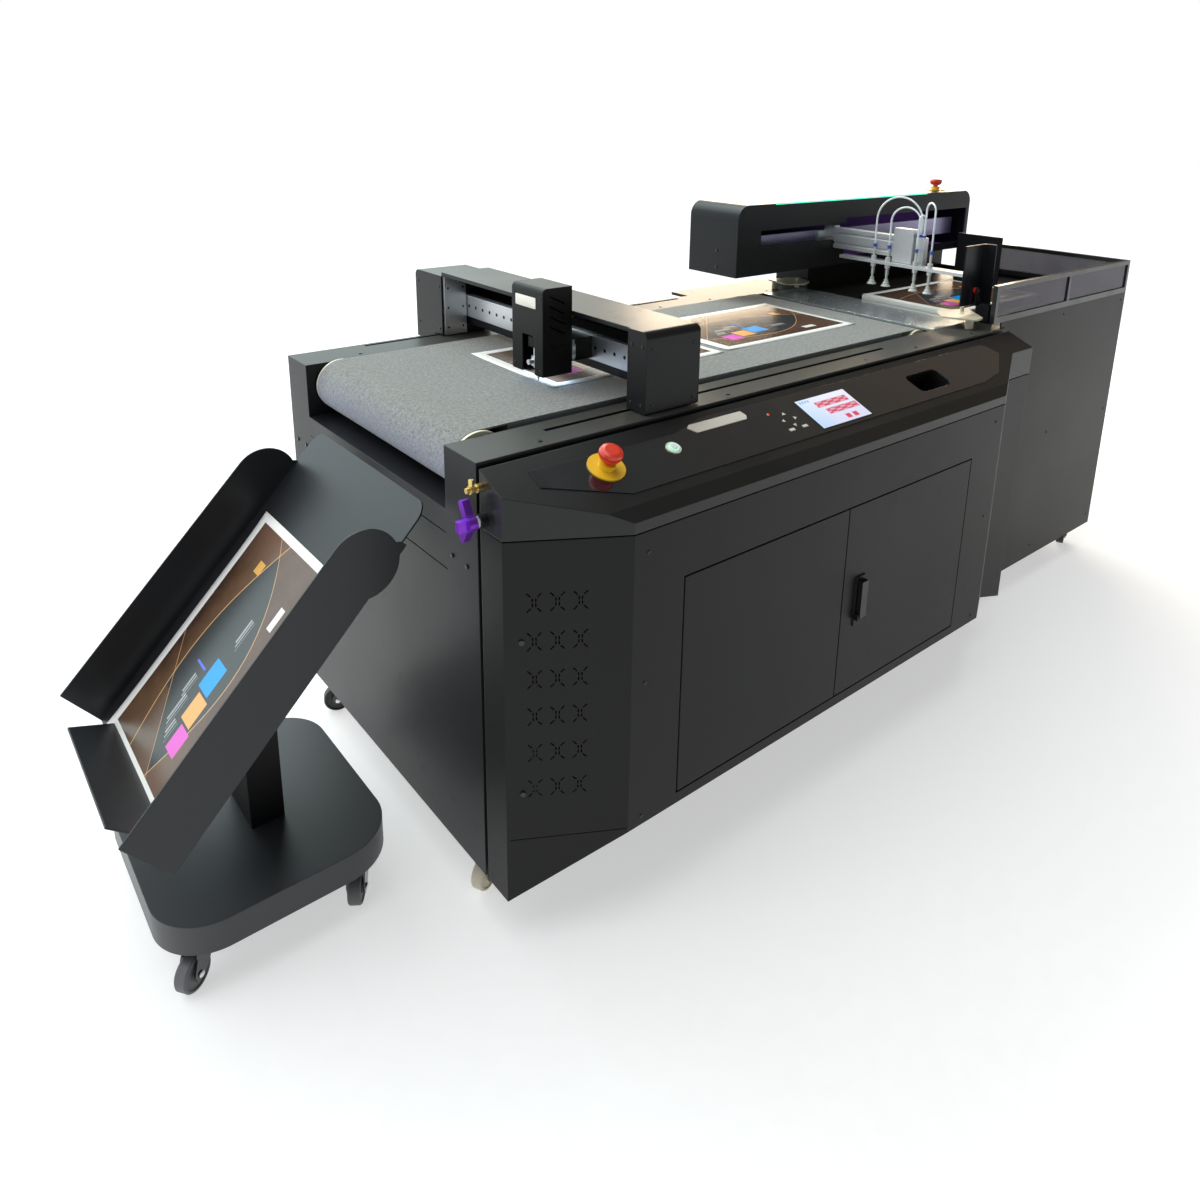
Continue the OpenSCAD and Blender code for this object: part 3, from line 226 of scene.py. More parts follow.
class Paint:
    def __init__(self, name, rough=0.5, metallic=0.0, **fixed):
        self.material = bpy.data.materials.new(name)
        self.material.use_nodes = True
        self.tree = self.material.node_tree
        self.tree.nodes.clear()
        self.bsdf = self.tree.nodes.new("ShaderNodeBsdfPrincipled")
        self.output = self.tree.nodes.new("ShaderNodeOutputMaterial")
        self.tree.links.new(self.bsdf.outputs[0], self.output.inputs["Surface"])
        self.bsdf.inputs["Roughness"].default_value = rough
        self.bsdf.inputs["Metallic"].default_value = metallic
        for socket, value in fixed.items():
            self.bsdf.inputs[socket.replace("_", " ")].default_value = value

    def put(self, socket, value):
        if isinstance(value, Varying):
            self.tree.links.new(value.socket, socket)
        else:
            socket.default_value = value

    # A node of that type: its settings first, then its sockets, by name or number
    def add(self, kind, settings=None, inputs=None, output=0):
        node = self.tree.nodes.new(kind)
        for key, value in (settings or {}).items():
            if key == "stops":
                elements = node.color_ramp.elements
                while len(elements) < len(value):
                    elements.new(0.5)
                for element, (place, colour) in zip(elements, value):
                    element.position = place
                    element.color = (*colour, 1.0)
            else:
                setattr(node, key, value)
        for key, value in (inputs or {}).items():
            self.put(node.inputs[key], value)
        return Varying(self, node.outputs[output])

    def place(self):
        return self.add("ShaderNodeTexCoord", output="Object")

    # The same millimetres as at() takes, for a part at rest
    def millimetres(self):
        x, y, z = self.parts(self.place())
        return (x - corner.x) / mm, (y - corner.y) / mm, z / mm

    def sheetPlace(self):
        uv = self.add("ShaderNodeTexCoord", output="UV")
        return self.parts(uv)

    def parts(self, vector):
        node = self.tree.nodes.new("ShaderNodeSeparateXYZ")
        self.put(node.inputs[0], vector)
        return [Varying(self, node.outputs[k]) for k in range(3)]

    def stretched(self, scale):
        return self.add("ShaderNodeMapping", {}, {"Vector": self.place(), "Scale": scale})

    def noise(self, scale, detail=2.0, rough=0.5, vector=None):
        return self.add("ShaderNodeTexNoise", {}, {
            "Vector": vector or self.place(), "Scale": scale, "Detail": detail, "Roughness": rough})

    def mix(self, factor, a, b):
        node = self.tree.nodes.new("ShaderNodeMix")
        node.data_type = "RGBA"
        self.put(node.inputs[0], factor)
        for socket, value in ((node.inputs[6], a), (node.inputs[7], b)):
            self.put(socket, value if isinstance(value, Varying) else (*value, 1.0))
        return Varying(self, node.outputs[2])

    def bump(self, height, distance, strength=1.0, rounding=0.0):
        inputs = {"Height": height, "Distance": distance, "Strength": strength}
        if rounding:
            inputs["Normal"] = self.rounded(rounding)
        return self.add("ShaderNodeBump", {}, inputs)

    def rounded(self, radius):
        return self.add("ShaderNodeBevel", {"samples": 4}, {"Radius": radius})

    def finish(self, **sockets):
        for socket, value in sockets.items():
            self.put(self.bsdf.inputs[socket.replace("_", " ")], value)
        return self.material


# Powder coat: a fine orange-peel grain, faint clouding, and dust that settles in patches.
# A patch gives a factor from 0 to 1 over the surface, and the colour, roughness and metal that show there.
def powderCoat(name, colour, rough=0.42, grain=1500, rounding=0.0022, cloud=0.12, spec=0.20, patch=None):
    p = Paint(name, Specular_IOR_Level=spec)
    broad = p.noise(2.3, 3).ramp(0.3, 0.7)
    dust = p.noise(38, 5, 0.65).ramp(0.55, 0.85)
    dark = tuple(c * (1 - cloud) for c in colour)
    light = tuple(c * (1 + cloud) for c in colour)
    dusty = tuple(c * 1.3 + 0.002 for c in colour)
    base = p.mix(dust * 0.35, p.mix(broad, dark, light), dusty)
    rough = rough + 0.07 * (broad - 0.5) + 0.09 * dust
    if patch:
        factor, shown, smooth, metal = patch(p)
        base = p.mix(factor, base, shown)
        rough = rough + factor * (smooth - rough)
        p.finish(Metallic=factor * metal)
    return p.finish(Base_Color=base, Roughness=rough,
                    Normal=p.bump(p.noise(grain, 2), 0.00004, 0.6, rounding))


# Bare aluminium on the gantry: the rail with a row of dark holes, and the inner end plate with its screws
bare = {"railX": (410.2, 417.8), "railZ": (880.6, 932.4), "spanY": (64.6, 733.4), "pitch": 30, "hole": 4.2,
        "holeZ": 906.5, "plateX": (352.6, 409.4), "plateY": (728.6, 733.1), "plateZ": (841, 981.4),
        "screwPitchX": 38, "screwPitchZ": 46, "screw": 2.6, "screwX": 362, "screwZ": 860}


def bareGantry(p):
    x, y, z = p.millimetres()
    rail = x.band(*bare["railX"], 0.1) * y.band(*bare["spanY"], 0.1) * z.band(*bare["railZ"], 0.1)
    plate = x.band(*bare["plateX"], 0.1) * y.band(*bare["plateY"], 0.1) * z.band(*bare["plateZ"], 0.1)

    # distance to the nearest point of a row with that pitch
    def nearest(value, start, pitch):
        turn = (value - start) / pitch + 0.5
        return (turn - turn.cell() - 0.5) * pitch

    alongRail, upRail = nearest(y, 0, bare["pitch"]), z - bare["holeZ"]
    holes = 1 - (alongRail * alongRail + upRail * upRail).ramp(bare["hole"] ** 2 * 0.8, bare["hole"] ** 2)
    acrossPlate = nearest(x, bare["screwX"], bare["screwPitchX"])
    upPlate = nearest(z, bare["screwZ"], bare["screwPitchZ"])
    heads = 1 - (acrossPlate * acrossPlate + upPlate * upPlate).ramp(bare["screw"] ** 2 * 0.8,
                                                                     bare["screw"] ** 2)
    lines = p.noise(1.0, 3, 0.6, p.stretched((60, 6, 900)))
    metal = p.mix(lines * 0.6, (0.80, 0.81, 0.83), (0.52, 0.54, 0.58))
    shown = p.mix((rail * holes + plate * heads).lowest(1.0), metal, (0.02, 0.02, 0.022))
    return (rail + plate).lowest(1.0), shown, 0.3 + 0.15 * lines, 0.95


# Painted highlight: the tops of the side rails are painted paler, with a fine grit, for the light that falls
# on them
def paintedLitTops(p):
    tops = p.millimetres()[2].ramp(838.6, 839.4)
    grit = p.noise(240, 3)
    return tops, p.mix(grit, (0.038, 0.036, 0.032), (0.062, 0.059, 0.053)), 0.36 + 0.08 * grit, 0.0


# Painted light: the inside of the rear housing is painted with a violet glow, a violet colour and an emission
# that grow with X
hollow = {"y": (592, 774), "z": (918, 1110), "x": (1171, 2328)}


def paintedVioletGlow(p):
    x, y, z = p.millimetres()
    inside = y.band(*hollow["y"], 0.4) * z.band(*hollow["z"], 0.4) * x.band(*hollow["x"], 0.4)
    cast = x.ramp(1500, 2250)
    p.finish(Emission_Color=p.mix(inside * cast, (0, 0, 0), (0.20, 0.09, 0.42)), Emission_Strength=0.16)
    return inside, p.mix(cast, (0.010, 0.010, 0.014), (0.10, 0.05, 0.19)), 0.3 + 0.1 * cast, 0.0


# Brushed or extruded aluminium: long scratches along one axis
def brushedMetal(name, colour, rough=0.3, scale=(4, 900, 900), rounding=0.0006, dark=0.75, metallic=0.82):
    p = Paint(name, metallic=metallic)
    lines = p.noise(1.0, 3, 0.6, p.stretched(scale))
    spots = p.noise(55, 3).ramp(0.5, 0.8)
    base = p.mix(lines * 0.6 + spots * 0.25, colour, tuple(c * dark for c in colour))
    return p.finish(Base_Color=base, Roughness=rough + 0.18 * lines + 0.06 * spots,
                    Normal=p.bump(lines, 0.00003, 0.5, rounding))


# Turned brass, with black enamel on the valve's base below a height
def brassFittings(name, colour, dark, split):
    p = Paint(name)
    lines = p.noise(1.0, 3, 0.6, p.stretched((300, 40, 300)))
    brass = p.millimetres()[2].ramp(split - 1, split + 1)
    base = p.mix(brass, dark, p.mix(lines * 0.6, colour, tuple(c * 0.75 for c in colour)))
    return p.finish(Base_Color=base, Metallic=brass * 1.0, Roughness=0.24 + 0.16 * lines,
                    Normal=p.bump(lines, 0.00003, 0.5, 0.0006))


# Moulded plastic or enamel: faint flow marks and fingerprints in the gloss
def moulded(name, colour, rough=0.25, coat=0.0, emission=None, glow=0.0):
    p = Paint(name, Coat_Weight=coat, Coat_Roughness=0.08)
    flow = p.noise(30, 4, 0.6)
    smear = p.noise(9, 3).ramp(0.45, 0.75)
    base = p.mix(flow.ramp(0.3, 0.7) * 0.3, colour, tuple(c * 0.82 for c in colour))
    if emission:
        p.finish(Emission_Color=(*emission, 1.0), Emission_Strength=glow)
    return p.finish(Base_Color=base, Roughness=rough + 0.12 * smear + 0.05 * flow,
                    Normal=p.bump(p.noise(500, 2), 0.00002, 0.4, 0.0008))


# Wool felt: matted fibres at two sizes, darker pits and paler hairs, and a painted bluish light where the
# belt runs down round its front end
def woolFelt(name):
    p = Paint(name, rough=0.95, Sheen_Weight=0.25, Sheen_Roughness=0.6, Specular_IOR_Level=0.15)
    hairs = p.noise(1.0, 4, 0.7, p.stretched((760, 520, 760)))
    cross = p.noise(1.0, 4, 0.7, p.stretched((480, 900, 560)))
    blotch = p.noise(170, 4, 0.6)
    mixFactor = (hairs * 0.5 + cross * 0.35 + blotch * 0.3).ramp(0.40, 0.76)
    # Painted light: below the top of the belt the felt is painted bluish, standing in for the light on it
    height = p.parts(p.place())[2]
    front = 1 - height.ramp(0.775, 0.85)
    grey = p.mix(mixFactor, (0.075, 0.073, 0.069), (0.37, 0.365, 0.34))
    blue = p.mix(mixFactor, (0.085, 0.090, 0.115), (0.34, 0.36, 0.42))
    return p.finish(Base_Color=p.mix(front, grey, blue),
                    Normal=p.bump(hairs * 0.6 + cross * 0.4, 0.0008, 0.7))


# A printed sheet: pale margin, a dark brown ground, gold curves and bright squares, no lettering.
# u runs along the sheet and v across it, both from 0 to 1. A square has its low and high u, its low and
# high v and its colour; a group of bars has its low and high u and its level in v.
art = {
    "squares": ((0.170, 0.262, 0.20, 0.33, (0.78, 0.10, 0.58)),
                (0.272, 0.375, 0.24, 0.38, (0.88, 0.42, 0.12)),
                (0.385, 0.500, 0.28, 0.43, (0.0, 0.33, 0.85)),
                (0.800, 0.850, 0.62, 0.70, (0.72, 0.38, 0.08)),
                (0.700, 0.790, 0.150, 0.205, (0.85, 0.84, 0.82)),
                (0.430, 0.440, 0.47, 0.60, (0.10, 0.16, 0.75))),
    "bars": ((0.2, 0.33, 0.44), (0.3, 0.4, 0.485), (0.56, 0.68, 0.33), (0.17, 0.25, 0.37)),
    "barRows": 3, "barStep": 0.019, "barGrow": 0.026, "barThick": 0.003, "barIndent": 0.012,
    "gold": (0.78, 0.45, 0.20), "barGrey": (0.62, 0.62, 0.63), "charcoal": (0.040, 0.042, 0.043),
}


def printedPaper(name):
    p = Paint(name, rough=0.32, Specular_IOR_Level=0.5)
    u, v, _ = p.sheetPlace()
    inside = u.band(0.055, 0.965, 0.0012) * v.band(0.075, 0.935, 0.002)
    glow = ((u - 0.12).size().ramp(0.0, 0.3) * (v - 0.7).size().ramp(0.0, 0.35))
    glowEnd = ((u - 0.95).size().ramp(0.0, 0.22) * (v - 0.25).size().ramp(0.0, 0.4))
    cloth = p.noise(3.2, 3, 0.5, p.stretched((9, 9, 9)))
    ground = p.mix(cloth.ramp(0.3, 0.75), (0.012, 0.007, 0.006), (0.060, 0.028, 0.020))
    ground = p.mix((1 - glow) * 0.5, ground, (0.20, 0.11, 0.055))
    ground = p.mix((1 - glowEnd) * 0.5, ground, (0.20, 0.11, 0.075))
    upper = 0.60 + 0.20 * (3.0 * u + 0.1).sine() - 0.12 * u
    lower = 0.30 - 0.15 * (3.6 * u - 0.4).sine() + 0.42 * (u ** 4.0)
    rising = 0.22 + 1.55 * u
    charcoal = (upper - v).ramp(0.0, 0.004) * (v - lower).ramp(0.0, 0.004)
    charcoal = charcoal * (rising - v).ramp(-0.002, 0.002).highest(u.ramp(0.28, 0.29))
    base = p.mix(charcoal, ground, art["charcoal"])
    for curve, width in ((upper, 0.004), (lower, 0.0035), (rising, 0.003)):
        line = 1 - (v - curve).size().ramp(width * 0.5, width * 1.3)
        base = p.mix(line * 0.9, base, art["gold"])
    for low, high, near, far, colour in art["squares"]:
        block = u.band(low, high, 0.001) * v.band(near, far, 0.0015)
        base = p.mix(block, base, colour)
    for low, high, level in art["bars"]:
        for row in range(art["barRows"]):
            bar = (u.band(low + art["barIndent"] * row, high, 0.001)
                   * v.band(level + art["barStep"] * row,
                            level + art["barGrow"] * row + art["barThick"], 0.001))
            base = p.mix(bar * 0.55, base, art["barGrey"])
    paper = p.mix(p.noise(900, 2), (0.86, 0.85, 0.80), (0.93, 0.92, 0.88))
    return p.finish(Base_Color=p.mix(inside, paper, base), Roughness=0.5 - 0.25 * inside,
                    Normal=p.bump(p.noise(300, 2), 0.00003, 0.5))


# Smoked acrylic: see-through with a violet cast, faint smears
def smokedAcrylic(name):
    p = Paint(name, rough=0.06, Specular_IOR_Level=0.3, Coat_Weight=0.1, Coat_Roughness=0.03)
    smear = p.noise(7, 4).ramp(0.4, 0.8)
    base = p.mix(smear, (0.030, 0.018, 0.040), (0.055, 0.032, 0.066))
    return p.finish(Base_Color=base, Alpha=0.74 + 0.06 * smear, Roughness=0.04 + 0.08 * smear)


# A lit screen behind glass: pale blue ground, two rows of red blocks, blue and red keys. A block has its
# low and high u, then its low and high v, all from 0 to 1 over the screen.
screen = {
    "blocks": ((0.28, 0.90, 0.62, 0.80), (0.36, 0.96, 0.36, 0.54)),
    "blueKeys": 4, "blueStart": 0.06, "bluePitch": 0.05, "blueWide": 0.03, "blueV": (0.86, 0.93),
    "redKeys": (0.56, 0.70), "redWide": 0.09, "redV": (0.10, 0.24),
}


def litScreen(name, low, size):
    p = Paint(name, rough=0.12, Coat_Weight=0.6, Coat_Roughness=0.05)
    x, y, _ = p.parts(p.place())
    u = (x - low[0]) / size[0]
    v = (y - low[1]) / size[1]
    ground = p.mix(v.ramp(0.0, 1.0), (0.55, 0.62, 0.86), (0.80, 0.84, 0.95))
    shade = p.mix(u.ramp(0.0, 0.5), (0.50, 0.72, 0.92), (0.86, 0.78, 0.88))
    base = p.mix(0.45, ground, shade)
    for lowU, highU, lowV, highV in screen["blocks"]:
        block = u.band(lowU, highU, 0.01) * v.band(lowV, highV, 0.015)
        base = p.mix(block * 0.95, base, (0.62, 0.05, 0.10))
        cells = ((u * 30).sine() * (v * 55).sine()).ramp(-0.1, 0.25) * block
        base = p.mix(cells * 0.75, base, (0.80, 0.45, 0.55))
    for step in range(screen["blueKeys"]):
        start = screen["blueStart"] + screen["bluePitch"] * step
        key = u.band(start, start + screen["blueWide"], 0.006) * v.band(*screen["blueV"], 0.015)
        base = p.mix(key, base, (0.30, 0.42, 0.75))
    for lowU in screen["redKeys"]:
        key = u.band(lowU, lowU + screen["redWide"], 0.01) * v.band(*screen["redV"], 0.015)
        base = p.mix(key, base, (0.68, 0.06, 0.12))
    edge = u.band(0.015, 0.985, 0.004) * v.band(0.02, 0.98, 0.006)
    base = p.mix(edge, (0.01, 0.01, 0.012), base)
    p.tree.links.new(base.socket, p.bsdf.inputs["Emission Color"])
    return p.finish(Base_Color=base, Emission_Strength=0.28)


makeCamera(view)
makeLamps(lamps)
makeSky(sky)
print("camera and lamps ready")

# Every material by name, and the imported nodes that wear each
displayLow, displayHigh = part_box("display")
looks = {
    # the tops of the frame's side rails carry a painted highlight
    "framePaint": powderCoat("framePaint", (0.012, 0.0123, 0.0145), 0.34, patch=paintedLitTops),
    "cabinetPaint": powderCoat("cabinetPaint", (0.0075, 0.0072, 0.0070), 0.40),
    "consolePaint": powderCoat("consolePaint", (0.013, 0.013, 0.0127), 0.30, spec=0.32),
    "trayPaint": powderCoat("trayPaint", (0.018, 0.019, 0.022), 0.38, spec=0.4),
    "guidePaint": powderCoat("guidePaint", (0.010, 0.011, 0.014), 0.34),
    "gantryPaint": powderCoat("gantryPaint", (0.011, 0.0112, 0.012), 0.34, patch=bareGantry),
    # the inside of the housing carries a painted violet glow
    "housingPaint": powderCoat("housingPaint", (0.013, 0.0133, 0.015), 0.34, patch=paintedVioletGlow),
    "feederPaint": powderCoat("feederPaint", (0.016, 0.0145, 0.013), 0.40),
    "basePaint": powderCoat("basePaint", (0.040, 0.040, 0.044), 0.40, spec=0.45),
    "inlayGloss": moulded("inlayGloss", (0.008, 0.009, 0.012), 0.12, coat=1.0),
    "screenFace": litScreen("screenFace", displayLow, displayHigh - displayLow),
    "trimSilver": brushedMetal("trimSilver", (0.90, 0.85, 0.76), 0.36, metallic=0.4),
    "ringYellow": moulded("ringYellow", (0.84, 0.50, 0.02), 0.30),
    "brassTurned": brassFittings("brassTurned", (0.78, 0.56, 0.20), (0.008, 0.008, 0.009), 780),
    "tableMilled": brushedMetal("tableMilled", (0.52, 0.54, 0.55), 0.35),
    "felt": woolFelt("felt"),
    # Steel grey tinted violet: the violet is painted light, the housing's glow on the rails
    "violetLitRailSteel": brushedMetal("violetLitRailSteel", (0.46, 0.42, 0.62), 0.28),
    "smoked": smokedAcrylic("smoked"),
    "rimBlack": moulded("rimBlack", (0.008, 0.008, 0.009), 0.30, coat=0.3),
    "lightStrip": moulded("lightStrip", (0.10, 0.75, 0.45), 0.3, emission=(0.08, 0.85, 0.48), glow=1.3),
    "plateAnodised": brushedMetal("plateAnodised", (0.76, 0.82, 0.82), 0.14),
    "screwBlack": moulded("screwBlack", (0.010, 0.010, 0.011), 0.25),
    "rollerCream": moulded("rollerCream", (0.80, 0.74, 0.56), 0.42),
    "chrome": brushedMetal("chrome", (0.86, 0.87, 0.90), 0.24, (60, 60, 900), dark=0.85),
    "redPlastic": moulded("redPlastic", (0.72, 0.035, 0.012), 0.28, coat=0.3),
    "greenLens": moulded("greenLens", (0.55, 0.85, 0.68), 0.2, emission=(0.35, 0.9, 0.6), glow=0.45),
    "purpleAnodised": brushedMetal("purpleAnodised", (0.26, 0.05, 0.62), 0.30, (90, 90, 90)),
    "aluminium": brushedMetal("aluminium", (0.84, 0.85, 0.86), 0.30, metallic=0.7),
    "cupSilicone": moulded("cupSilicone", (0.62, 0.63, 0.60), 0.38),
    "paperEdge": moulded("paperEdge", (0.86, 0.84, 0.78), 0.6),
    "pearlPlate": powderCoat("pearlPlate", (0.62, 0.54, 0.40), 0.32, cloud=0.05, spec=0.5),
    "handleBlack": moulded("handleBlack", (0.006, 0.006, 0.006), 0.30),
    "wheelCream": moulded("wheelCream", (0.66, 0.60, 0.46), 0.45),
    "wheelGrey": moulded("wheelGrey", (0.13, 0.13, 0.135), 0.5),
    "wheelBlack": moulded("wheelBlack", (0.010, 0.010, 0.011), 0.4),
    "forkEnamel": moulded("forkEnamel", (0.005, 0.005, 0.006), 0.16, coat=0.6),
    "print": printedPaper("print"),
}
print(len(looks), "materials made")

wearing = {
    "framePaint": ["machine_frame"],
    "gantryPaint": ["gantry"],
    "housingPaint": ["rear_housing"],
    "feederPaint": ["feeder_cabinet", "stack_table"],
    "basePaint": ["trolley_base"],
    "cabinetPaint": ["front_shell", "left_door", "right_door", "carriage", "trolley_post"],
    "consolePaint": ["console_shell"],
    "trayPaint": ["catch_tray"],
    "guidePaint": ["side_guide", "tail_stop"],
    "inlayGloss": ["console_inlay"],
    "screenFace": ["display"],
    "trimSilver": ["console_trim"],
    "ringYellow": ["stop_rings"],
    "brassTurned": ["air_fittings"],
    "tableMilled": ["vacuum_table"],
    "felt": ["felt_belt"],
    "violetLitRailSteel": ["linear_rails"],
    "smoked": ["guard_panels"],
    "rimBlack": ["guard_rim"],
    "lightStrip": ["led_strip"],
    "plateAnodised": ["transfer_plate"],
    "screwBlack": ["screws"],
    "chrome": ["tool_holder"],
    "rollerCream": ["exit_roller", "feed_roller"],
    "handleBlack": ["door_handle"],
    "redPlastic": ["front_stop_button", "rear_stop_button", "clamp_handle"],
    "greenLens": ["power_button"],
    "purpleAnodised": ["valve_lever"],
    "aluminium": ["pick_arm", "lift_bar"],
    "cupSilicone": ["suction_cups"],
    "paperEdge": ["sheet_stack"],
    "pearlPlate": ["near_paddle", "far_paddle"],
    "wheelCream": ["wheel_exit_near"],
    "wheelBlack": ["wheel_exit_far", "wheel_feed_near", "wheel_feed_far"],
    "wheelGrey": [f"wheel_tray_{k}" for k in "abcd"],
    "forkEnamel": [n for n in nodes if n.startswith("fork_")],
}
for look, names in wearing.items():
    for nodeName in names:
        for materialSlot in nodes[nodeName].material_slots:
            materialSlot.material = looks[look]


# A mesh from its points and faces, with its material and the body that it rides on; the slot name is not used
def makePiece(name, points, faces, look, body, slotName, uv=None, smooth=True):
    mesh = bpy.data.meshes.new(name)
    faces = faces if isinstance(faces, list) else faces.tolist()
    mesh.from_pydata(np.asarray(points).tolist(), [], faces)
    if uv is not None:
        layer = mesh.uv_layers.new(name="flat")
        loops = np.empty(len(mesh.loops), np.int32)
        mesh.loops.foreach_get("vertex_index", loops)
        layer.data.foreach_set("uv", np.asarray(uv)[loops].ravel())
    mesh.polygons.foreach_set("use_smooth", np.full(len(mesh.polygons), smooth))
    mesh.update()
    piece = bpy.data.objects.new(name, mesh)
    bpy.context.scene.collection.objects.link(piece)
    piece.data.materials.append(looks[look])
    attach(piece, body)
    return piece


# The faces of a grid of rows by columns, each a square of neighbours; closed joins the last column
# to the first
def gridFaces(rows, columns, closed=False):
    r, c = np.meshgrid(np.arange(rows - 1), np.arange(columns if closed else columns - 1), indexing="ij")
    across = (c + 1) % columns
    quads = np.stack([r * columns + c, r * columns + across,
                      (r + 1) * columns + across, (r + 1) * columns + c], -1)
    return quads.reshape(-1, 4)


# A ring carried along a path: centre + radius * (cos a * side + sin a * over)
def tubeShape(path, radius, sides=16):
    path = np.asarray(path, float)
    along = np.gradient(path, axis=0)
    along /= np.linalg.norm(along, axis=1)[:, None]
    side = np.cross(along, np.broadcast_to((0.0, 0.0, 1.0), along.shape))
    flat = np.linalg.norm(side, axis=1) < 1e-6
    spread = path[-1] - path[0]
    leans = np.hypot(spread[0], spread[1]) > 1e-6
    level = unit(np.cross((0, 0, 1), spread)) if leans else np.array([1.0, 0, 0])
    side[flat] = level
    side /= np.linalg.norm(side, axis=1)[:, None]
    side *= np.where(side @ level < 0, -1, 1)[:, None]
    over = np.cross(side, along)
    a = np.linspace(0, 2 * math.pi, sides, endpoint=False)
    radii = np.broadcast_to(np.asarray(radius, float), len(path))
    ring = np.cos(a)[None, :, None] * side[:, None] + np.sin(a)[None, :, None] * over[:, None]
    points = path[:, None] + radii[:, None, None] * ring
    faces = gridFaces(len(path), sides, closed=True)
    return points.reshape(-1, 3), faces


# Flat ends on a tube of that many rings
def closeEnds(points, faces, sides, rows):
    caps = [np.arange(sides)[::-1].tolist(), ((rows - 1) * sides + np.arange(sides)).tolist()]
    return points, faces.tolist() + caps


# Several shapes, each a pair of points and faces, joined in one
def joined(shapes):
    points, faces, start = [], [], 0
    for p, f in shapes:
        points.append(np.asarray(p))
        faces += [[start + k for k in face] for face in (f if isinstance(f, list) else f.tolist())]
        start += len(p)
    return np.concatenate(points), faces


# A profile of radius against distance turned round an axis that starts at base
def turned(base, axis, profile, sides=24):
    axis = unit(axis)
    side = unit(np.cross(axis, (1, 0, 0) if abs(axis[0]) < 0.9 else (0, 1, 0)))
    over = np.cross(axis, side)
    a = np.linspace(0, 2 * math.pi, sides, endpoint=False)
    prof = np.asarray(profile, float) * mm
    ring = np.cos(a)[:, None] * side + np.sin(a)[:, None] * over
    points = np.asarray(base) + prof[:, 0, None, None] * axis + prof[:, 1, None, None] * ring[None]
    faces = gridFaces(len(prof), sides, closed=True)
    return closeEnds(points.reshape(-1, 3), faces, sides, len(prof))


# A flat outline in the plane of two directions, carried through a thickness along their cross product
def slab(outline, origin, alongU, alongV, thick):
    outline = np.asarray(outline, float) * mm
    n = len(outline)
    alongU, alongV = unit(alongU), unit(alongV)
    out = np.cross(alongU, alongV)
    face = np.asarray(origin) + outline[:, 0, None] * alongU + outline[:, 1, None] * alongV
    points = np.concatenate([face, face + out * thick * mm])
    k = np.arange(n)
    walls = np.stack([k, (k + 1) % n, n + (k + 1) % n, n + k], 1).tolist()
    return points, [k[::-1].tolist(), (n + k).tolist()] + walls


# A rectangle with round corners from (x0, y0) to (x1, y1)
def roundedBox(x0, y0, x1, y1, r, steps=5):
    turn = np.linspace(0, math.pi / 2, steps)
    corners = ((x1 - r, y1 - r, 0), (x0 + r, y1 - r, 1), (x0 + r, y0 + r, 2), (x1 - r, y0 + r, 3))
    return np.concatenate([
        np.stack([cx + r * np.cos(turn + q * math.pi / 2), cy + r * np.sin(turn + q * math.pi / 2)], 1)
        for cx, cy, q in corners])


def softEdges(piece, width):
    bevel = piece.modifiers.new("softEdges", "BEVEL")
    bevel.width = width
    bevel.segments = 2
    bevel.limit_method = "ANGLE"
    return piece


# Printed sheets: a flat grid whose corners lift a little, lift * (2u - 1)^6 * (2v - 1)^6.
# Each rests a little above what it lies on; the corners on the belt and in the tray are in millimetres.
sheet = {"long": 457, "wide": 305, "thick": 0.3, "lift": 1.6, "rest": 0.5, "rows": 25, "columns": 37,
         "underHead": (305, 229), "onBelt": (783, 236), "inTray": (-636, 250), "trayLift": 3.0}


def makeSheet(name, origin, alongU, alongV, body, lift=sheet["lift"]):
    rows, columns = sheet["rows"], sheet["columns"]
    v, u = np.meshgrid(np.linspace(0, 1, rows), np.linspace(0, 1, columns), indexing="ij")
    out = np.cross(unit(alongU), unit(alongV))
    rise = lift * (2 * u - 1) ** 6 * (2 * v - 1) ** 6
    points = (np.asarray(origin) + (u * sheet["long"] * mm)[..., None] * unit(alongU)
              + (v * sheet["wide"] * mm)[..., None] * unit(alongV) + (rise * mm)[..., None] * out)
    uv = np.stack([u, v], -1).reshape(-1, 2)
    piece = makePiece(name, points.reshape(-1, 3), gridFaces(rows, columns), "print", body, "paper", uv)
    shell = piece.modifiers.new("thickness", "SOLIDIFY")
    shell.thickness = sheet["thick"] * mm
    shell.offset = -1
    return piece


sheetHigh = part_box("felt_belt")[1].z / mm + sheet["rest"]
makeSheet("sheetUnderHead", at((*sheet["underHead"], sheetHigh)), (1, 0, 0), (0, 1, 0), "machine")
makeSheet("sheetOnBelt", at((*sheet["onBelt"], sheetHigh)), (1, 0, 0), (0, 1, 0), "machine")
stackLow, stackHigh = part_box("sheet_stack")
makeSheet("stackTopSheet", (stackLow.x, stackLow.y, stackHigh.z + sheet["rest"] * mm),
          (1, 0, 0), (0, 1, 0), "stack_table")

# The tray's upper edge in millimetres, its slope in degrees, and its axes up the slope and out of its floor
tray = {"edge": (-12, 0, 726), "tilt": 46.6}
trayTilt = math.radians(tray["tilt"])
trayUp = np.array([math.cos(trayTilt), 0, math.sin(trayTilt)])
trayOut = np.array([-math.sin(trayTilt), 0, math.cos(trayTilt)])


def onTray(along, across, out):
    return at(tray["edge"]) + (along * trayUp + np.array([0, across, 0]) + out * trayOut) * mm


makeSheet("sheetInTray", onTray(*sheet["inTray"], sheet["rest"]), trayUp, (0, 1, 0), "trolley",
          sheet["trayLift"])
print("printed sheets made")


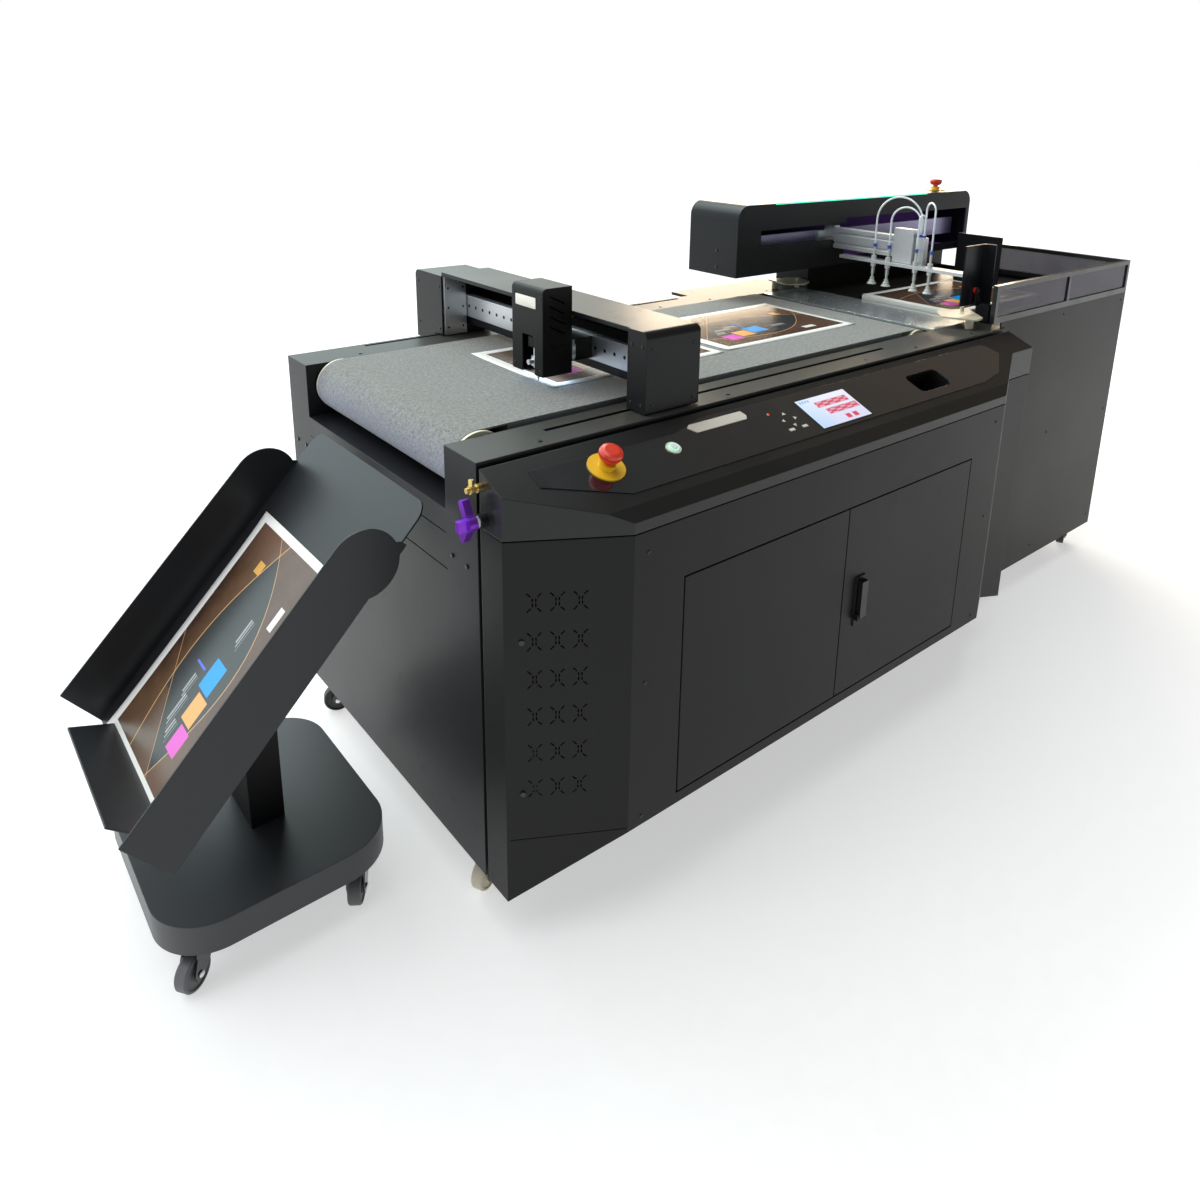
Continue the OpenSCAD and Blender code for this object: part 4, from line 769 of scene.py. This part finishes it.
# Air tubes: up from the cup, over in a half turn, down into the manifold. Each run is the cup's Y, the port's
# X and Y, and the height of the straight part; each sleeve is distance along the tube against radius.
tubes = {"radius": 2.6, "foot": 996, "head": 1033, "cupX": 1577, "sides": 14,
         "runs": ((251, 1596, 290, 112), (297, 1605, 297, 84), (387, 1596, 305, 74), (435, 1605, 306, 76)),
         "sleeve": [(0, 2.9), (0, 4.4), (6, 4.4), (6.6, 5.2), (9, 5.2), (9.6, 4.0), (9.6, 2.7)],
         "sleeveDrop": (0, 0, -3), "bendSteps": 33, "straightSteps": 8}


def tubeRun(y, portX, portY, rise):
    start = np.array([tubes["cupX"], y, tubes["foot"]], float)
    end = np.array([portX, portY, tubes["head"]], float)
    flat = np.array([end[0] - start[0], end[1] - start[1], 0])
    half = np.linalg.norm(flat) / 2
    way = unit(flat)
    middle = np.array([(start[0] + end[0]) / 2, (start[1] + end[1]) / 2, tubes["foot"] + rise])
    t = np.linspace(0, math.pi, tubes["bendSteps"])[:, None]
    arc = middle - half * np.cos(t) * way + half * np.sin(t) * np.array([0, 0, 1.0])
    up = np.linspace(start, arc[0], tubes["straightSteps"], endpoint=False)
    down = np.linspace(arc[-1], end, tubes["straightSteps"] + 1)[1:]
    return at(np.concatenate([up, arc, down]))


tubeShapes, sleeveShapes = [], []
for y, portX, portY, rise in tubes["runs"]:
    path = tubeRun(y, portX, portY, rise)
    points, faces = tubeShape(path, tubes["radius"] * mm, tubes["sides"])
    tubeShapes.append(closeEnds(points, faces, tubes["sides"], len(path)))
    for end in (path[0], path[-1]):
        sleeveShapes.append(turned(end + np.multiply(tubes["sleeveDrop"], mm), (0, 0, 1), tubes["sleeve"]))
looks["tubeMilky"] = moulded("tubeMilky", (0.84, 0.88, 0.92), 0.18, coat=0.4)
looks["fittingBlue"] = moulded("fittingBlue", (0.05, 0.12, 0.55), 0.3)
airTubes = makePiece("smoothAirTubes", *joined(tubeShapes), "tubeMilky", "pick_head", "tube_clear")
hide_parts("air_tubes")
makePiece("tubeFittings", *joined(sleeveShapes), "fittingBlue", "pick_head", "tube_clear")
print("air tubes made")

# Small turned parts: each profile is distance along the axis against radius. An axle's ends stand on both
# sides of its fork, across the wheel's heading in degrees.
axles = {
    "half": 17,
    "cap": [(0, 5.5), (1.0, 5.4), (2.0, 4.4), (2.6, 2.4), (2.8, 0.3)],
    "headings": {"exit_near": 205, "exit_far": 160, "feed_near": 20, "feed_far": -30,
                 "tray_a": 215, "tray_b": 150, "tray_c": 235, "tray_d": 30},
}
for name, heading in axles["headings"].items():
    low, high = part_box("wheel_" + name)
    middle = (np.array(low) + np.array(high)) / 2
    axis = np.array([-math.sin(math.radians(heading)), math.cos(math.radians(heading)), 0])
    caps = [turned(middle + sign * axles["half"] * mm * axis, sign * axis, axles["cap"]) for sign in (-1, 1)]
    makePiece("axleEnds_" + name, *joined(caps), "chrome", "fork_" + name, "chrome")

# Screw heads: one head's profile, and for each row its places, the way it faces, its body and its scale
screws = {
    "head": [(0, 3.4), (0.8, 3.3), (1.3, 2.6), (1.3, 1.5), (0.7, 1.4), (0.7, 0.2)],
    "sides": 16,
    "rows": {
        "gantryScrews": ([(347, y, z) for y, z in ((26, 856), (54, 856), (26, 962), (54, 962), (745, 856),
                                                   (845, 856), (745, 955), (845, 955))],
                         (-1, 0, 0), "gantry", 1.0),
        "gantryFrontScrews": ([(x, 14, z) for x in (362, 460) for z in (856, 958)],
                              (0, -1, 0), "gantry", 1.0),
        "headScrews": ([(282, y, z) for y in (240, 326) for z in (880, 1018)], (-1, 0, 0), "head", 0.8),
        "shellScrews": ([(x, -171, z) for x in (200, 1230) for z in (215, 470, 700)],
                        (0, -1, 0), "machine", 1.0),
        "feederScrews": ([(x, 15, z) for x in (1575, 1900, 2268) for z in (120, 480, 830)],
                         (0, -1, 0), "machine", 1.0),
    },
}
for name, (places, axis, body, scale) in screws["rows"].items():
    profile = [(a * scale, r * scale) for a, r in screws["head"]]
    shapes = [turned(at(place), axis, profile, screws["sides"]) for place in places]
    makePiece(name, *joined(shapes), "screwBlack", body, "screw_steel")

# On the head: a blank name plate, a strip underneath that glows on the sheet, a damper beside the arm, and a
# short cable along a curve with four control points
head = {
    "plateX": 282, "plateY": 254, "plateZ": 996, "plateW": 67, "plateH": 21, "plateR": 2, "plateT": 1.0,
    "plateEdge": 0.3,
    "glowX": (322, 345), "glowY": (238, 328), "glowZ": 868.6, "glowT": 1.0,
    "damperAt": (359, 242, 892),
    "damper": [(0, 3.4), (1, 5), (10, 5), (10.5, 4.2), (12, 4.2), (12.5, 5), (30, 5), (31, 3), (38, 3),
               (38.5, 1)],
    "cableR": 1.6, "cableSides": 10, "cableSteps": 25,
    "cable": ((350, 262, 958), (368, 240, 985), (392, 250, 985), (392, 300, 962)),
}
plate = slab(roundedBox(0, 0, head["plateW"], head["plateH"], head["plateR"]),
             at((head["plateX"], head["plateY"] + head["plateW"], head["plateZ"])),
             (0, -1, 0), (0, 0, 1), head["plateT"])
softEdges(makePiece("headPlate", *plate, "trimSilver", "head", "trim_silver"), head["plateEdge"] * mm)
looks["headGlow"] = moulded("headGlow", (0.75, 0.82, 0.95), 0.3, emission=(0.55, 0.74, 1.0), glow=7.0)
(glowX0, glowX1), (glowY0, glowY1) = head["glowX"], head["glowY"]
glowW, glowL = glowX1 - glowX0, glowY1 - glowY0
strip = slab([(0, 0), (0, glowL), (glowW, glowL), (glowW, 0)], at((glowX0, glowY0, head["glowZ"])),
             (1, 0, 0), (0, 1, 0), -head["glowT"])
makePiece("headGlow", *strip, "headGlow", "head", None, smooth=False)
makePiece("headDamper", *turned(at(head["damperAt"]), (0, 0, 1), head["damper"]), "chrome", "head", "chrome")
t = np.linspace(0, 1, head["cableSteps"])[:, None]
first, second, third, last = head["cable"]
cablePath = at((1 - t) ** 3 * first + 3 * t * (1 - t) ** 2 * second
               + 3 * t ** 2 * (1 - t) * third + t ** 3 * last)
cable = closeEnds(*tubeShape(cablePath, head["cableR"] * mm, head["cableSides"]),
                  head["cableSides"], head["cableSteps"])
looks["cableOrange"] = moulded("cableOrange", (0.75, 0.16, 0.03), 0.35)
makePiece("headCable", *cable, "cableOrange", "head", None)

# Console marks: a red indicator, and a pale lens on the power button. The console slopes up towards the
# edge at back and top; each mark has its X, its Y and its lift off the slope.
console = {
    "slope": 22.8, "back": -9, "top": 833,
    "indicatorAt": (588, -57, 2.5), "indicator": [(0, 2.3), (0.5, 2.2), (0.9, 1.4), (1, 0.2)],
    "lensAt": (338, -70, 5.5), "lens": [(0, 6.5), (0.5, 6.5), (0.6, 5.5), (0.6, 0.3)],
}
slope = math.radians(console["slope"])
consoleUp = (0, -math.sin(slope), math.cos(slope))


def onConsole(x, y, lift):
    z = console["top"] + (y - console["back"]) * math.tan(slope)
    return at((x, y - lift * math.sin(slope), z + lift * math.cos(slope)))


looks["lensRed"] = moulded("lensRed", (0.75, 0.03, 0.02), 0.15, coat=0.5,
                           emission=(1.0, 0.05, 0.02), glow=0.6)
makePiece("indicatorLens", *turned(onConsole(*console["indicatorAt"]), consoleUp, console["indicator"]),
          "lensRed", "machine", "red_plastic")
makePiece("lensRing", *turned(onConsole(*console["lensAt"]), consoleUp, console["lens"]),
          "tubeMilky", "power_button", "green_lens")

# A bright six-sided nut behind the valve lever; its two end faces give way to a bore
nut = {"at": (-17.4, -24, 757), "sides": 6,
       "profile": [(0, 5.4), (0, 9.5), (0.6, 10), (4.4, 10), (5, 9.5), (5, 5.4)]}
points, faces = turned(at(nut["at"]), (1, 0, 0), nut["profile"], nut["sides"])
lastRing = (len(nut["profile"]) - 1) * nut["sides"]
bore = [[lastRing + k, lastRing + (k + 1) % nut["sides"], (k + 1) % nut["sides"], k]
        for k in range(nut["sides"])]
makePiece("valveNut", points, faces[:-2] + bore, "chrome", "machine", "chrome", smooth=False)

# Springs round the cup stems: each a helix of wire
spring = {"radius": 5.4, "wire": 0.7, "turns": 6, "low": 914, "high": 944, "x": tubes["cupX"],
          "y": [run[0] for run in tubes["runs"]], "steps": 16, "sides": 6}
angle = np.linspace(0, 2 * math.pi * spring["turns"], spring["steps"] * spring["turns"] + 1)
coils = []
for y in spring["y"]:
    path = at(np.stack([spring["x"] + spring["radius"] * np.cos(angle), y + spring["radius"] * np.sin(angle),
                        np.linspace(spring["low"], spring["high"], len(angle))], 1))
    points, faces = tubeShape(path, spring["wire"] * mm, spring["sides"])
    coils.append(closeEnds(points, faces, spring["sides"], len(path)))
makePiece("cupSprings", *joined(coils), "chrome", "pick_head", "chrome")
print("small parts made")

# A pale floor that glows a little, square, its half width in metres
floorHalf = 30
looks["floorPale"] = moulded("floorPale", (0.60, 0.60, 0.60), 0.8, emission=(1.0, 1.0, 1.0), glow=0.52)
floorMesh = bpy.data.meshes.new("floor")
floorMesh.from_pydata([(x * floorHalf, y * floorHalf, 0) for x, y in ((-1, -1), (1, -1), (1, 1), (-1, 1))],
                      [], [(0, 1, 2, 3)])
floor = bpy.data.objects.new("floor", floorMesh)
bpy.context.scene.collection.objects.link(floor)
floor.data.materials.append(looks["floorPale"])
print("pieces ready")
